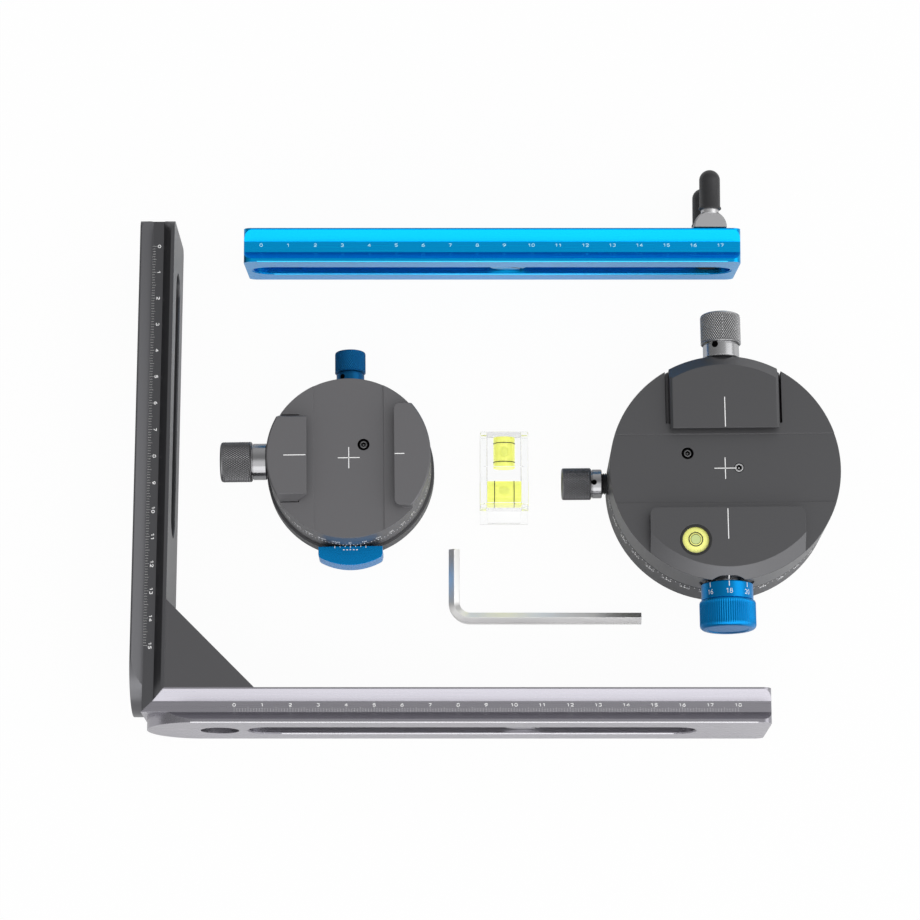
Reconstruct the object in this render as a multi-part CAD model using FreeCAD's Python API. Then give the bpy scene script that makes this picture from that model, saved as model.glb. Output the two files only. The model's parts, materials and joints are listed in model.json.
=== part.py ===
# Panoramic tripod head, laid out as a kit on a flat surface: an indexing rotator with a clamp,
# a small rotator with a clamp, an L-bracket of two dovetail arms, a dovetail nodal rail with its
# two-pronged hand screw, a two-way bubble level and a hexagon key.
# Millimetres, +Z up. The origin is the mouth of the large rotator's tripod socket.
import FreeCAD, Part
import math
import os
from FreeCAD import Placement, Rotation, Vector

# ---- clearances -------------------------------------------------------------------------
running_gap = 0.04          # radial gap round a turning or sliding shaft
sliding_gap = 0.3           # side gap of a jaw or a carriage in its slot
pan_gap = 0.4               # height between a turning deck and its base
table_gap = 0.3             # height of a knob or block above the surface the kit lies on

# ---- spaces between the pieces of the kit -------------------------------------------------
lock_to_level = 12.2        # pan lock knob to bubble level
level_to_small = 17.0       # bubble level to small rotator
small_to_arm = 17.96        # small clamp knob to upright arm
index_to_arm = 22.4         # index knob to lower arm
clamp_to_rail = 23.9        # large clamp knob to the front edge of the nodal rail
arm_to_rail = 25.5          # upright arm to the nodal rail's left end

# ---- dovetail section, shared by the arms and the rail -----------------------------------
rail_width = 38.0
front_lip = 1.3             # edge of the wide face
front_flank = 2.9           # run of the flank behind the wide face
groove_width = 4.0          # flat bottom of the side groove, which carries the scale
rear_flank = 3.9
rear_lip = 0.6
groove_depth = 3.0
rail_thickness = front_lip + front_flank + groove_width + rear_flank + rear_lip
rail_end_radius = 3.0       # rounded corners of the free ends
slot_width = 7.0            # through slot for a 1/4 in screw
recess_width = 14.4         # recess in the wide face for the screw's head
recess_depth = 6.0
recess_chamfer = 0.6

# ---- camera screws -----------------------------------------------------------------------
camera_thread_radius = 3.175
camera_neck_radius = 2.6    # relieved neck that keeps the screw captive
camera_tip_chamfer = 0.6
camera_head_radius = 6.75
camera_head_height = 3.6
camera_washer_height = 0.8
camera_thread_reach = 2.8   # thread standing out of the back of the rail
coin_slot_width = 1.6
coin_slot_depth = 1.2

# ---- L-bracket -----------------------------------------------------------------------------
lower_arm_length = 229.4    # outer corner to free end
upright_arm_length = 187.9
corner_setback = 5.1        # how far the round flange ends stop short of the outer corner
gusset_leg = 32.0
corner_screw_offset = 31.4  # corner screws, from the outer corner planes
corner_screw_head_radius = 5.0
corner_screw_head_height = 5.0
corner_screw_radius = 3.0
corner_screw_length = 12.0
corner_screw_recess_radius = 7.0
corner_screw_recess_depth = 9.0
lower_slot_start = 26.2     # from the arm's free end
lower_slot_inner = 41.9     # from the outer corner
upright_slot_start = 16.0   # from the arm's free end
upright_slot_length = 100.0
bracket_screw_offset = 88.5 # camera screw to the lower arm's free end

# ---- nodal rail ------------------------------------------------------------------------------
nodal_rail_length = 183.8
nodal_slot_margin = 2.5     # recess end to rail end
rail_screw_offset = 98.0    # camera screw to the rail's left end
handle_inset = 11.3         # hand screw to the rail's right end
handle_bar_radius = 6.1
handle_bar_half_length = 19.6
handle_bar_edge = 0.5
handle_stud_seat = 4.0
handle_shoulder_seat = 1.0
handle_end_margin = 2.45
handle_post_radius = 2.4
handle_shoulder_radius = 3.3
handle_neck_length = 2.3
handle_cap_radius = 3.9
handle_cap_length = 15.0
handle_cap_bead = 0.35      # thickened mouth of a cap
handle_washer_radius = 5.6
handle_washer_height = 0.4
handle_stud_length = 12.0

# ---- clamps ------------------------------------------------------------------------------------
jaw_height = 5.0
jaw_land = 1.1              # upright face at the tip of a jaw
jaw_undercut = 3.2
relief_width = 25.6         # shallow band along the middle of the channel
relief_depth = 0.4
clamp_screw_radius = 2.5
guide_pin_radius = 1.5
guide_pin_seat = 6.0        # part of a pin pressed into the deck
guide_pin_cover = 2.0       # jaw left over a pin's outer end
spring_radius = 2.4
spring_wire = 0.5
spring_coils = 6
spring_seat = 5.0           # depth of the spring's counterbore in the jaw
stop_screw_radius = 2.2
stop_screw_depth = 2.6

# ---- large rotator -------------------------------------------------------------------------------
large_turn = 0.45           # how the rotator is turned on the table, degrees
large_radius = 42.0
large_base_height = 19.4
large_deck_height = 17.2    # underside of the turning body to the channel floor
large_moving_face = 13.9    # faces of the two jaws, from the axis
large_fixed_face = 15.6
large_jaw_half = 19.8
large_jaw_foot_half = 20.9
large_jaw_foot_drop = 3.0   # top of the jaw's foot below the channel floor
large_jaw_chamfer = 0.9
large_pocket_depth = 10.5
large_fixed_jaw_half = 28.0
large_jaw_bevel = 4.4
large_jaw_corner = 2.5
large_clamp_depth = 4.5     # clamp screw below the channel floor
large_pin_spread = 13.0
base_chamfer = 0.8
base_rim = 3.5              # wall outside the bottom plate
base_plate_height = 4.0
base_wall = 9.0
base_web_height = 4.0
base_screw_radius = 1.25
base_screw_head_radius = 2.4
base_screw_length = 8.0
base_screw_count = 4
tripod_thread_radius = 3.97
tripod_bush_radius = 6.5
tripod_bush_height = 10.6
tripod_boss_radius = 10.0
spindle_radius = 7.0
spindle_socket_depth = 6.2
spindle_screw_radius = 2.5
spindle_screw_head_radius = 4.7
spindle_screw_head_height = 2.2
spindle_screw_length = 10.0
bush_wall = 2.0
bush_flange_gap = 3.0       # bush flange to detent ring
bush_flange_height = 1.2
drum_gap = 3.0              # drum to the wall of the base's cavity
drum_rim_width = 4.0
drum_rim_height = 9.0
drum_web_height = 3.8
thrust_washer_radius = 12.0
lock_height = 13.2
lock_screw_radius = 3.95
lock_gap = 0.5              # brake shoe to drum, free
lock_knob_radius = 5.85
lock_collar_radius = 5.35
lock_knob_length = 11.2
lock_collar_length = 3.6
lock_reach = 2.0            # black neck seen between the base and the knob
shoe_length = 6.4
clamp_knob_radius = 7.4
clamp_collar_radius = 6.65
clamp_knob_length = 12.3
clamp_collar_length = 4.6
knob_edge = 0.9
index_height = 29.6
index_knob_radius = 10.2
index_collar_radius = 9.4
index_knob_length = 10.3
index_collar_length = 6.2
index_knob_sink = 0.2       # inner face of the collar, inside the deck's wall
index_knob_edge = 2.0
index_recess_gap = 0.5
index_recess_depth = 1.7
camshaft_radius = 3.2
cam_lobe_radius = 2.6
cam_lobe_offset = 1.4
cam_lobe_width = 1.5
cam_journal_length = 5.0
index_rows = (8, 10, 12, 15, 16, 18, 20, 24)     # dimples in each row of the detent ring
index_row_pitch = 2.0
detent_ring_setback = 6.0   # detent ring to the base's wall
detent_ring_margin = 2.0    # outermost row to the ring's edge
detent_ring_inner_margin = 3.0
detent_ring_height = 2.0
detent_room = 0.5
dimple_radius = 0.7
dimple_depth = 0.6
detent_pin_radius = 0.85
vial_inset = 11.9           # centre of the bull's-eye level to the deck's wall
vial_azimuth = -113.07
vial_cup_radius = 5.8
vial_radius = 4.8
vial_depth = 3.0
stop_screw_x = -13.6
stop_screw_y = 5.7
centre_screw_x = 5.0
centre_screw_y = 0.2
centre_screw_radius = 1.8

# ---- small rotator -------------------------------------------------------------------------------
small_y = 4.9
small_turn = 0.8
small_radius = 30.0
small_base_overhang = 1.0   # base's rim beyond the deck
small_base_height = 12.4
small_base_foot_inset = 3.0
small_base_foot_height = 5.0
small_deck_height = 20.2
small_moving_face = 15.2
small_fixed_face = 16.7
small_jaw_half = 14.4
small_jaw_foot_half = 16.2
small_fixed_jaw_half = 19.0
small_pocket_depth = 10.0
small_jaw_bevel = 0.5
small_jaw_corner = 2.0
small_clamp_depth = 5.0
small_pin_spread = 10.0
small_floor_height = 2.5
small_base_wall = 5.0       # wall outside the skirt's groove
small_skirt_gap = 2.0       # skirt to the wall
small_skirt_width = 3.5
small_skirt_inner_gap = 1.5
small_skirt_foot = 0.7      # skirt above the groove's floor
small_post_radius = 9.0
small_post_flange_radius = 12.4
small_post_flange_height = 3.0
small_cavity_radius = 13.0
small_cavity_height = 8.6
small_ring_height = 4.0
small_washer_height = 0.4
small_socket_radius = 2.55
small_socket_depth = 12.0
small_lock_height = 8.8
small_lock_screw_radius = 2.5
small_lock_knob_radius = 5.75
small_lock_collar_radius = 5.2
small_lock_knob_length = 8.4
small_lock_collar_length = 4.5
small_lock_reach = 2.5
small_shoe_length = 4.2
index_block_width = 23.5
index_block_depth = 7.0      # radial size of the block's upper part
index_block_top = 20.2
index_block_shelf = 10.8     # underside of the upper part
index_block_foot_depth = 4.6
index_block_arc = 23.0       # bow of the outer faces
index_block_corner = 1.6
index_block_screw_radius = 1.0
index_block_screw_head_radius = 1.9
index_block_screw_length = 6.0
index_block_screw_spread = 3.6
small_stop_screw_x = 5.4
small_stop_screw_y = 4.9

# ---- bubble level and hexagon key ---------------------------------------------------------------
level_y = 3.2
level_width = 18.0
level_length = 32.4
level_top = 16.4
level_foot_height = 2.0
level_neck_height = 2.2
level_neck_width = 12.4
level_step = 1.6            # the block with the long vial is this much lower
level_front_y = -11.9       # front face of the front block, from the foot's centre
level_split_y = 2.6         # where the two blocks meet
level_rear_y = 16.2
level_edge = 0.8
vial_wall = 1.2             # acrylic in front of the cross vial
vial_tube_radius = 4.3
vial_tube_length = 11.8
cross_tube_length = 12.6
key_across_flats = 4.0
key_long = 71.3
key_short = 27.9
key_bend_radius = 6.0
key_offset_x = 20.6         # outer corner of the key, from the level
key_corner_y = -51.0


# ---- places of the kit's pieces -------------------------------------------------------------------
clamp_knob_reach = running_gap + clamp_collar_length + clamp_knob_length
large_clamp_end = large_radius + clamp_knob_reach
lock_knob_start = large_radius + lock_reach
lock_knob_end = lock_knob_start + lock_collar_length + lock_knob_length
index_knob_start = large_radius - index_knob_sink
index_knob_end = index_knob_start + index_collar_length + index_knob_length
small_base_radius = small_radius + small_base_overhang
level_x = -(lock_knob_end + lock_to_level + level_width / 2)
small_x = level_x - level_width / 2 - level_to_small - small_base_radius
bracket_outer_x = small_x - small_radius - clamp_knob_reach - small_to_arm - rail_thickness
bracket_outer_y = -(index_knob_end + index_to_arm + rail_thickness)
nodal_rail_start_x = bracket_outer_x + rail_thickness + arm_to_rail
nodal_rail_foot_y = large_clamp_end + clamp_to_rail
key_corner_x = level_x - key_offset_x


# ---- shape helpers ------------------------------------------------------------------------------
def block(x0, x1, y0, y1, z0, z1):
    """Box between two corners."""
    return Part.makeBox(x1 - x0, y1 - y0, z1 - z0, Vector(x0, y0, z0))


def post(radius, low, high, x=0.0, y=0.0):
    """Upright cylinder between two heights."""
    return Part.makeCylinder(radius, high - low, Vector(x, y, low))


def turned(corners):
    """Solid turned about Z from (radius, height) corners."""
    points = [Vector(radius, 0, height) for radius, height in corners]
    face = Part.Face(Part.makePolygon(points + points[:1]))
    return face.revolve(Vector(0, 0, 0), Vector(0, 0, 1), 360)


def ring(inner, outer, low, high):
    """Plain upright ring."""
    return turned([(inner, low), (outer, low), (outer, high), (inner, high)])


def prism(points, run):
    """Solid made by moving a flat outline along run."""
    return Part.Face(Part.makePolygon(points + points[:1])).extrude(run)


def outward(shape, azimuth, height):
    """Lay a piece turned about Z on its side: Z becomes the outward direction at azimuth."""
    laid = shape.copy()
    turn = Rotation(Vector(0, 0, 1), azimuth) * Rotation(Vector(0, 1, 0), 90)
    laid.Placement = Placement(Vector(0, 0, height), turn)
    return laid


def rod(radius, start, end, azimuth, height):
    """Level cylinder from one distance off the axis to another."""
    return outward(post(radius, start, end), azimuth, height)


def moved(shape, place):
    """Copy of a shape set by a placement."""
    copy = shape.copy()
    copy.Placement = place * copy.Placement
    return copy


def beside(shape, spread):
    """A piece repeated at equal distances on both sides of the centre plane."""
    return [moved(shape, Placement(Vector(x, 0, 0), Rotation())) for x in (-spread, spread)]


def fused(shapes):
    """Union of several shapes as one clean solid."""
    return shapes[0].fuse(shapes[1:]).removeSplitter()


def socket(radius, low, high, x=0.0, y=0.0):
    """Hexagon recess of a socket screw, sized by its corner radius."""
    corners = [Vector(x + radius * math.cos(math.radians(60 * i)),
                      y + radius * math.sin(math.radians(60 * i)), low) for i in range(6)]
    return prism(corners, Vector(0, 0, high - low))


def knob(knob_radius, knob_length, collar_radius, collar_length, bore_radius, start, edge):
    """Turned knob with a plain collar on its inner side, bored for its screw."""
    neck = start + collar_length
    end = neck + knob_length
    bore_end = end - knob_length / 3
    return turned([(bore_radius, start), (collar_radius - edge / 3, start), (collar_radius, start + edge / 3),
                   (collar_radius, neck), (knob_radius - edge / 2, neck), (knob_radius, neck + edge / 2),
                   (knob_radius, end - edge), (knob_radius - edge, end), (0, end),
                   (0, bore_end), (bore_radius, bore_end)])


# ---- dovetail rails --------------------------------------------------------------------------------
def rail_section(x):
    """Hourglass section of a dovetail rail in the plane x: Y is thickness, Z is width."""
    front_top = front_lip + front_flank
    rear_top = front_top + groove_width
    high = rail_width - groove_depth
    corners = [(0, 0), (front_lip, 0), (front_top, groove_depth), (rear_top, groove_depth),
               (rail_thickness - rear_lip, 0), (rail_thickness, 0), (rail_thickness, rail_width),
               (rail_thickness - rear_lip, rail_width), (rear_top, high), (front_top, high),
               (front_lip, rail_width), (0, rail_width)]
    return [Vector(x, y, z) for y, z in corners]


def rail_bar(length):
    """Length of dovetail bar along +X, wide face at y = 0."""
    return prism(rail_section(0), Vector(length, 0, 0))


def end_rounding(x, radius, side):
    """What a free end loses when its two corners are rounded: side is +1 at the far end."""
    low = min(x, x - side * radius)
    square = block(low, low + radius, -1, rail_thickness + 1, 0, rail_width)
    keep = block(low, low + radius, -1, rail_thickness + 1, radius, rail_width - radius)
    for z in (radius, rail_width - radius):
        round_bar = Part.makeCylinder(radius, rail_thickness + 2, Vector(x - side * radius, -1, z),
                                      Vector(0, 1, 0))
        keep = keep.fuse(round_bar)
    return square.cut(keep)


def long_hole(start, end, width, depth_from, depth_to):
    """Round-ended slot along X at mid-width of a rail, between two depths."""
    radius = width / 2
    middle = rail_width / 2
    depth = depth_to - depth_from
    body = block(start + radius, end - radius, depth_from, depth_to, middle - radius, middle + radius)
    caps = [Part.makeCylinder(radius, depth, Vector(x, depth_from, middle), Vector(0, 1, 0))
            for x in (start + radius, end - radius)]
    return body.fuse(caps).removeSplitter()


def screw_slot(start, end):
    """Recess for the camera screw's head with a chamfered mouth, and the through slot behind it."""
    inset = (recess_width - slot_width) / 2
    recess = long_hole(start, end, recess_width, -1, recess_depth)
    slot = long_hole(start + inset, end - inset, slot_width, -1, rail_thickness + 1)
    mouth = long_hole(start - recess_chamfer, end + recess_chamfer, recess_width + 2 * recess_chamfer,
                      -1, recess_chamfer / 2)
    return recess.fuse([slot, mouth])


def camera_screw(x):
    """Coin-slotted captive screw, head in the recess and thread out of the back."""
    middle = rail_width / 2
    head_back = recess_depth - camera_washer_height
    head_front = head_back - camera_head_height
    axis = Vector(0, 1, 0)
    head = Part.makeCylinder(camera_head_radius, camera_head_height, Vector(x, head_front, middle), axis)
    tip = rail_thickness + camera_thread_reach
    shank = turned([(0, head_back), (camera_thread_radius, head_back), (camera_thread_radius, recess_depth),
                    (camera_neck_radius, recess_depth), (camera_neck_radius, rail_thickness),
                    (camera_thread_radius, rail_thickness), (camera_thread_radius, tip - camera_tip_chamfer),
                    (camera_thread_radius - camera_tip_chamfer, tip), (0, tip)])
    shank.rotate(Vector(0, 0, 0), Vector(1, 0, 0), -90)
    shank.translate(Vector(x, 0, middle))
    coin_slot = block(x - camera_head_radius - 1, x + camera_head_radius + 1,
                      head_front - 1, head_front + coin_slot_depth,
                      middle - coin_slot_width / 2, middle + coin_slot_width / 2)
    coin_slot.rotate(Vector(x, 0, middle), axis, 40)
    return head.fuse(shank).cut(coin_slot).removeSplitter()


def camera_washer(x):
    """Thin washer under the camera screw's head, which runs in the recess."""
    middle = rail_width / 2
    front = recess_depth - camera_washer_height
    axis = Vector(0, 1, 0)
    disc = Part.makeCylinder(camera_head_radius, camera_washer_height, Vector(x, front, middle), axis)
    hole = Part.makeCylinder(camera_thread_radius + running_gap, camera_washer_height,
                             Vector(x, front, middle), axis)
    return disc.cut(hole)


# ---- L-bracket -----------------------------------------------------------------------------------------
def turned_over(shape):
    """Swap the two faces of a rail."""
    return shape.mirror(Vector(0, rail_thickness / 2, 0), Vector(0, 1, 0))


def mitred_arm(length, slot_start, slot_end, wide_face_inside):
    """Arm along +X whose far end meets the other arm in a mitre; its outer flange ends in a half round."""
    bar = rail_bar(length)
    slot = screw_slot(slot_start, slot_end)
    flange_depth = front_lip + front_flank
    if wide_face_inside:
        bar = turned_over(bar)
        slot = turned_over(slot)
        flange_depth = rear_lip + rear_flank
    flange_end = length - corner_setback
    radius = rail_width / 2
    flange_tool = long_hole(-rail_width, flange_end, rail_width, 0, flange_depth)
    flange = bar.common(flange_tool)
    inner = length - rail_thickness
    mitre = prism([Vector(-1, flange_depth, 0), Vector(length - flange_depth, flange_depth, 0),
                   Vector(inner, rail_thickness, 0), Vector(-1, rail_thickness, 0)], Vector(0, 0, rail_width))
    core = bar.common(mitre)
    arm = flange.fuse(core).removeSplitter()
    arm = arm.cut(end_rounding(0, rail_end_radius, -1))
    arm = arm.cut(slot)
    hole_x = length - corner_screw_offset
    axis = Vector(0, 1, 0)
    sink = Part.makeCylinder(corner_screw_recess_radius, corner_screw_recess_depth + 1,
                             Vector(hole_x, -1, radius), axis)
    hole = Part.makeCylinder(corner_screw_radius, rail_thickness + 2, Vector(hole_x, -1, radius), axis)
    return arm.cut([sink, hole])


def corner_screw(hole_x):
    """Socket-head screw through an arm into the gusset."""
    axis = Vector(0, 1, 0)
    middle = rail_width / 2
    seat = corner_screw_recess_depth
    head_front = seat - corner_screw_head_height
    head = Part.makeCylinder(corner_screw_head_radius, corner_screw_head_height,
                             Vector(hole_x, head_front, middle), axis)
    shank = Part.makeCylinder(corner_screw_radius, corner_screw_length, Vector(hole_x, seat, middle), axis)
    key = socket(corner_screw_head_radius / 2, 0, corner_screw_head_height / 2)
    key.rotate(Vector(0, 0, 0), Vector(1, 0, 0), -90)
    key.translate(Vector(hole_x, head_front, middle))
    return head.fuse(shank).cut(key).removeSplitter()


lower_arm_place = Placement(Vector(bracket_outer_x, bracket_outer_y, 0), Rotation(Vector(0, 0, 1), 0))
upright_place = Placement(Vector(bracket_outer_x, bracket_outer_y + upright_arm_length, 0),
                          Rotation(Vector(0, 0, 1), -90))
bracket_screw_place = lower_arm_length - bracket_screw_offset


def mirrored_end(shape, length):
    """Turn an arm end for end, so that its mitred end comes first."""
    return shape.mirror(Vector(length / 2, 0, 0), Vector(1, 0, 0))


def lower_arm():
    """Arm along X, mitred at its left end."""
    arm = mitred_arm(lower_arm_length, lower_slot_start, lower_arm_length - lower_slot_inner,
                     wide_face_inside=False)
    return moved(mirrored_end(arm, lower_arm_length), lower_arm_place)


def upright_arm():
    """Arm along Y, mitred at its lower end."""
    slot_end = upright_slot_start + upright_slot_length
    arm = mitred_arm(upright_arm_length, upright_slot_start, slot_end, wide_face_inside=True)
    return moved(arm, upright_place)


def corner_gusset():
    """Triangular block in the corner, tapped for the two corner screws."""
    x = bracket_outer_x + rail_thickness
    y = bracket_outer_y + rail_thickness
    body = prism([Vector(x, y, 0), Vector(x + gusset_leg, y, 0), Vector(x, y + gusset_leg, 0)],
                 Vector(0, 0, rail_width))
    return body.cut([corner_screw_shape(place, radius_only=True)
                     for place in (lower_arm_place, upright_place)])


def corner_screw_shape(place, radius_only=False):
    """Corner screw of one arm in place, or just the hole that its shank needs."""
    hole_x = corner_screw_offset if place is lower_arm_place else upright_arm_length - corner_screw_offset
    if radius_only:
        hole = Part.makeCylinder(corner_screw_radius, corner_screw_length,
                                 Vector(hole_x, corner_screw_recess_depth, rail_width / 2), Vector(0, 1, 0))
        return moved(hole, place)
    return moved(corner_screw(hole_x), place)


def corner_screws():
    """Both corner screws."""
    return Part.makeCompound([corner_screw_shape(place) for place in (lower_arm_place, upright_place)])


def bracket_screw():
    """Captive camera screw of the lower arm."""
    return moved(camera_screw(bracket_screw_place), lower_arm_place)


def bracket_washer():
    """Washer that the lower arm's camera screw turns in."""
    return moved(camera_washer(bracket_screw_place), lower_arm_place)


# ---- nodal rail and its hand screw ---------------------------------------------------------------------
bar_front = rail_thickness + handle_washer_height
bar_back = bar_front + handle_bar_radius
cap_start = bar_back + handle_neck_length
handle_prong_offset = handle_bar_half_length - handle_end_margin
handle_place = nodal_rail_length - handle_inset
overhang = handle_prong_offset + handle_cap_radius + handle_cap_bead - rail_width / 2
rail_lean = math.degrees(math.asin((overhang + table_gap) / cap_start))
nodal_place = Placement(Vector(nodal_rail_start_x, nodal_rail_foot_y, 0),
                        Rotation(Vector(1, 0, 0), rail_lean))


def nodal_rail():
    """Dovetail rail that leans forward, because the hand screw's lower prong props its back."""
    bar = rail_bar(nodal_rail_length)
    bar = bar.cut(end_rounding(0, rail_end_radius, -1))
    bar = bar.cut(end_rounding(nodal_rail_length, rail_end_radius, 1))
    bar = bar.cut(screw_slot(nodal_slot_margin, nodal_rail_length - nodal_slot_margin))
    return moved(bar, nodal_place)


def rail_screw():
    """Captive camera screw of the nodal rail."""
    return moved(camera_screw(rail_screw_offset), nodal_place)


def rail_washer():
    """Washer that the nodal rail's camera screw turns in."""
    return moved(camera_washer(rail_screw_offset), nodal_place)


def handle_axis_piece(radius, start, end, z=0.0):
    """Cylinder square to the rail at the hand screw, offset up or down its bar."""
    centre = Vector(handle_place, start, rail_width / 2 + z)
    return Part.makeCylinder(radius, end - start, centre, Vector(0, 1, 0))


def handle_washer():
    """Washer between the hand screw's bar and the back of the rail."""
    disc = handle_axis_piece(handle_washer_radius, rail_thickness, bar_front)
    hole = handle_axis_piece(camera_thread_radius + running_gap, rail_thickness, bar_front)
    return moved(disc.cut(hole), nodal_place)


def prong_pair(radius, start, end):
    """The same cylinder at both prongs."""
    return [handle_axis_piece(radius, start, end, z) for z in (-handle_prong_offset, handle_prong_offset)]


def handle_bar():
    """Half-round cross bar, flat towards the rail, drilled for the stud and spot-faced for the two prongs."""
    foot = Vector(handle_place, bar_front, rail_width / 2 - handle_bar_half_length)
    bar = Part.makeCylinder(handle_bar_radius, 2 * handle_bar_half_length, foot)
    bar = bar.makeChamfer(handle_bar_edge, [edge for edge in bar.Edges if edge.Closed])
    half = block(handle_place - handle_bar_radius - 1, handle_place + handle_bar_radius + 1,
                 bar_front, bar_back + 1, foot.z - 1, foot.z + 2 * handle_bar_half_length + 1)
    stud_hole = handle_axis_piece(camera_thread_radius, bar_front - 1, bar_front + handle_stud_seat)
    cuts = prong_pair(handle_post_radius, bar_front + handle_stud_seat / 2, bar_back + 1)
    cuts += prong_pair(handle_shoulder_radius, bar_back - handle_shoulder_seat, bar_back + 1)
    return moved(bar.common(half).cut([stud_hole] + cuts), nodal_place)


def handle_stud():
    """Threaded stud of the hand screw, through the rail's slot."""
    stud = handle_axis_piece(camera_thread_radius, bar_front - handle_stud_length,
                             bar_front + handle_stud_seat)
    return moved(stud, nodal_place)


def handle_posts():
    """Two steel prongs, set in the bar, each with a shoulder under its cap."""
    end = cap_start + handle_cap_length - handle_cap_radius
    posts = prong_pair(handle_post_radius, bar_front + handle_stud_seat / 2, end)
    shoulders = prong_pair(handle_shoulder_radius, bar_back - handle_shoulder_seat, cap_start)
    return moved(Part.makeCompound([fused(pair) for pair in zip(posts, shoulders)]), nodal_place)


def handle_caps():
    """Two rubber caps with round ends and a bead at the mouth, pushed on the prongs."""
    straight = cap_start + handle_cap_length - handle_cap_radius
    caps = []
    for z in (-handle_prong_offset, handle_prong_offset):
        sleeve = handle_axis_piece(handle_cap_radius, cap_start, straight, z)
        bead = handle_axis_piece(handle_cap_radius + handle_cap_bead, cap_start,
                                 cap_start + 3 * handle_cap_bead, z)
        dome = Part.makeSphere(handle_cap_radius, Vector(handle_place, straight, rail_width / 2 + z))
        hole = handle_axis_piece(handle_post_radius, cap_start, straight, z)
        caps.append(fused([sleeve, dome, bead]).cut(hole))
    return moved(Part.makeCompound(caps), nodal_place)


# ---- clamps: the moving jaw opens towards +Y of the rotator's own frame ------------------------------
def deck_blank(radius, low, floor, bevel):
    """Disc up to the tops of the jaws, bevelled at its upper rim."""
    top = floor + jaw_height
    return turned([(0, low), (radius, low), (radius, top - bevel), (radius - bevel, top), (0, top)])


def jaw_face(sign, tip, floor):
    """Room in front of a jaw: the dovetail undercut, as an outline in Y and Z."""
    back = tip + jaw_undercut
    top = floor + jaw_height
    corners = [(-1, floor), (back, floor), (back, top - jaw_land - jaw_undercut), (tip, top - jaw_land),
               (tip, top + 1), (-1, top + 1)]
    return [Vector(0, sign * y, z) for y, z in corners]


def clamp_deck(radius, low, floor, moving_face, fixed_face, fixed_half, corner,
               pocket_half, pocket_depth, bevel):
    """Turning deck with its fixed jaw at -Y and the moving jaw's pocket at +Y."""
    blank = deck_blank(radius, low, floor, bevel)
    reach = radius + 1
    disc = blank.cut(block(-reach, reach, -reach, reach, floor, floor + jaw_height + 1))
    jaw_blank = block(-fixed_half, fixed_half, -reach, -fixed_face, floor - 1, floor + jaw_height)
    inner_edges = [edge for edge in jaw_blank.Edges
                   if abs(edge.CenterOfMass.y + fixed_face) < 0.01
                   and abs(abs(edge.CenterOfMass.x) - fixed_half) < 0.01]
    jaw = jaw_blank.makeFillet(corner, inner_edges).common(blank)
    undercut = prism(jaw_face(-1, fixed_face, floor), Vector(2 * reach, 0, 0))
    undercut.translate(Vector(-reach, 0, 0))
    jaw = jaw.cut(undercut)
    pocket_start = pin_wall(moving_face)
    pocket = block(-pocket_half, pocket_half, pocket_start, reach, floor - pocket_depth, floor + 1)
    relief = block(-reach, reach, -relief_width / 2, relief_width / 2, floor - relief_depth, floor + 1)
    return fused([disc, jaw]).cut([pocket, relief])


def moving_jaw(radius, floor, face, flank, pocket_depth, bevel, axis_depth, pin_spread):
    """Sliding jaw with bores for the clamp screw, pins and springs; flank is its side outline."""
    reach = radius + 1
    foot = floor - pocket_depth + sliding_gap
    foot_half = flank[0][0]
    low_face = face + jaw_undercut
    top = floor + jaw_height
    outline = [(low_face, foot), (low_face, top - jaw_land - jaw_undercut), (face, top - jaw_land),
               (face, top), (reach, top), (reach, foot)]
    jaw = prism([Vector(-foot_half, y, z) for y, z in outline], Vector(2 * foot_half, 0, 0))
    jaw = jaw.common(deck_blank(radius, foot - 1, floor, bevel))
    beyond = flank + [(flank[-1][0], top + 1), (foot_half + 1, top + 1), (foot_half + 1, flank[0][1])]
    sides = [prism([Vector(side * x, 0, z) for x, z in beyond], Vector(0, reach, 0)) for side in (-1, 1)]
    height = floor - axis_depth
    bores = [rod(clamp_screw_radius + 3 * running_gap, 0, reach, 90, height)]
    pin_bore = rod(guide_pin_radius + running_gap, low_face - 1, pin_end(radius, pin_spread) + 1, 90, height)
    spring_bore = rod(spring_radius + running_gap, low_face - 1, low_face + spring_seat, 90, height)
    bores += beside(pin_bore, pin_spread) + beside(spring_bore, pin_spread)
    return jaw.cut(sides + bores)


def pin_wall(face):
    """Wall of the pocket behind the moving jaw's undercut."""
    return face + jaw_undercut - sliding_gap


def pin_end(radius, pin_spread):
    """Outer end of a guide pin, under the jaw's round outer face."""
    return math.sqrt(radius ** 2 - pin_spread ** 2) - guide_pin_cover


def guide_pin_set(radius, face, height, pin_spread):
    """Two pins pressed into the deck, on which the jaw slides."""
    pin = rod(guide_pin_radius, pin_wall(face) - guide_pin_seat, pin_end(radius, pin_spread), 90, height)
    return beside(pin, pin_spread)


def coil_spring(inner, outer, start, end, height):
    """Closed-coil return spring, as a stack of rings joined by a thin sleeve."""
    pitch = (end - start) / spring_coils
    middle = (inner + outer) / 2
    sleeve = ring(middle - 0.1, middle + 0.1, start, end)
    turns = [Part.makeTorus(middle, spring_wire / 2, Vector(0, 0, start + pitch * (i + 0.5)))
             for i in range(spring_coils)]
    return outward(fused([sleeve] + turns), 90, height)


def jaw_spring_set(face, height, pin_spread):
    """Two springs round the guide pins that push the jaw open."""
    wall = pin_wall(face)
    inner = guide_pin_radius + running_gap
    end = wall + sliding_gap + spring_seat - running_gap
    spring = coil_spring(inner, spring_radius, wall + running_gap, end, height)
    return beside(spring, pin_spread)


def flush_screw(radius, x, y, top):
    """Socket screw let into the channel floor."""
    body = post(radius, top - stop_screw_depth, top, x, y)
    return body.cut(socket(radius * 0.55, top - stop_screw_depth / 2, top + 1, x, y))


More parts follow.
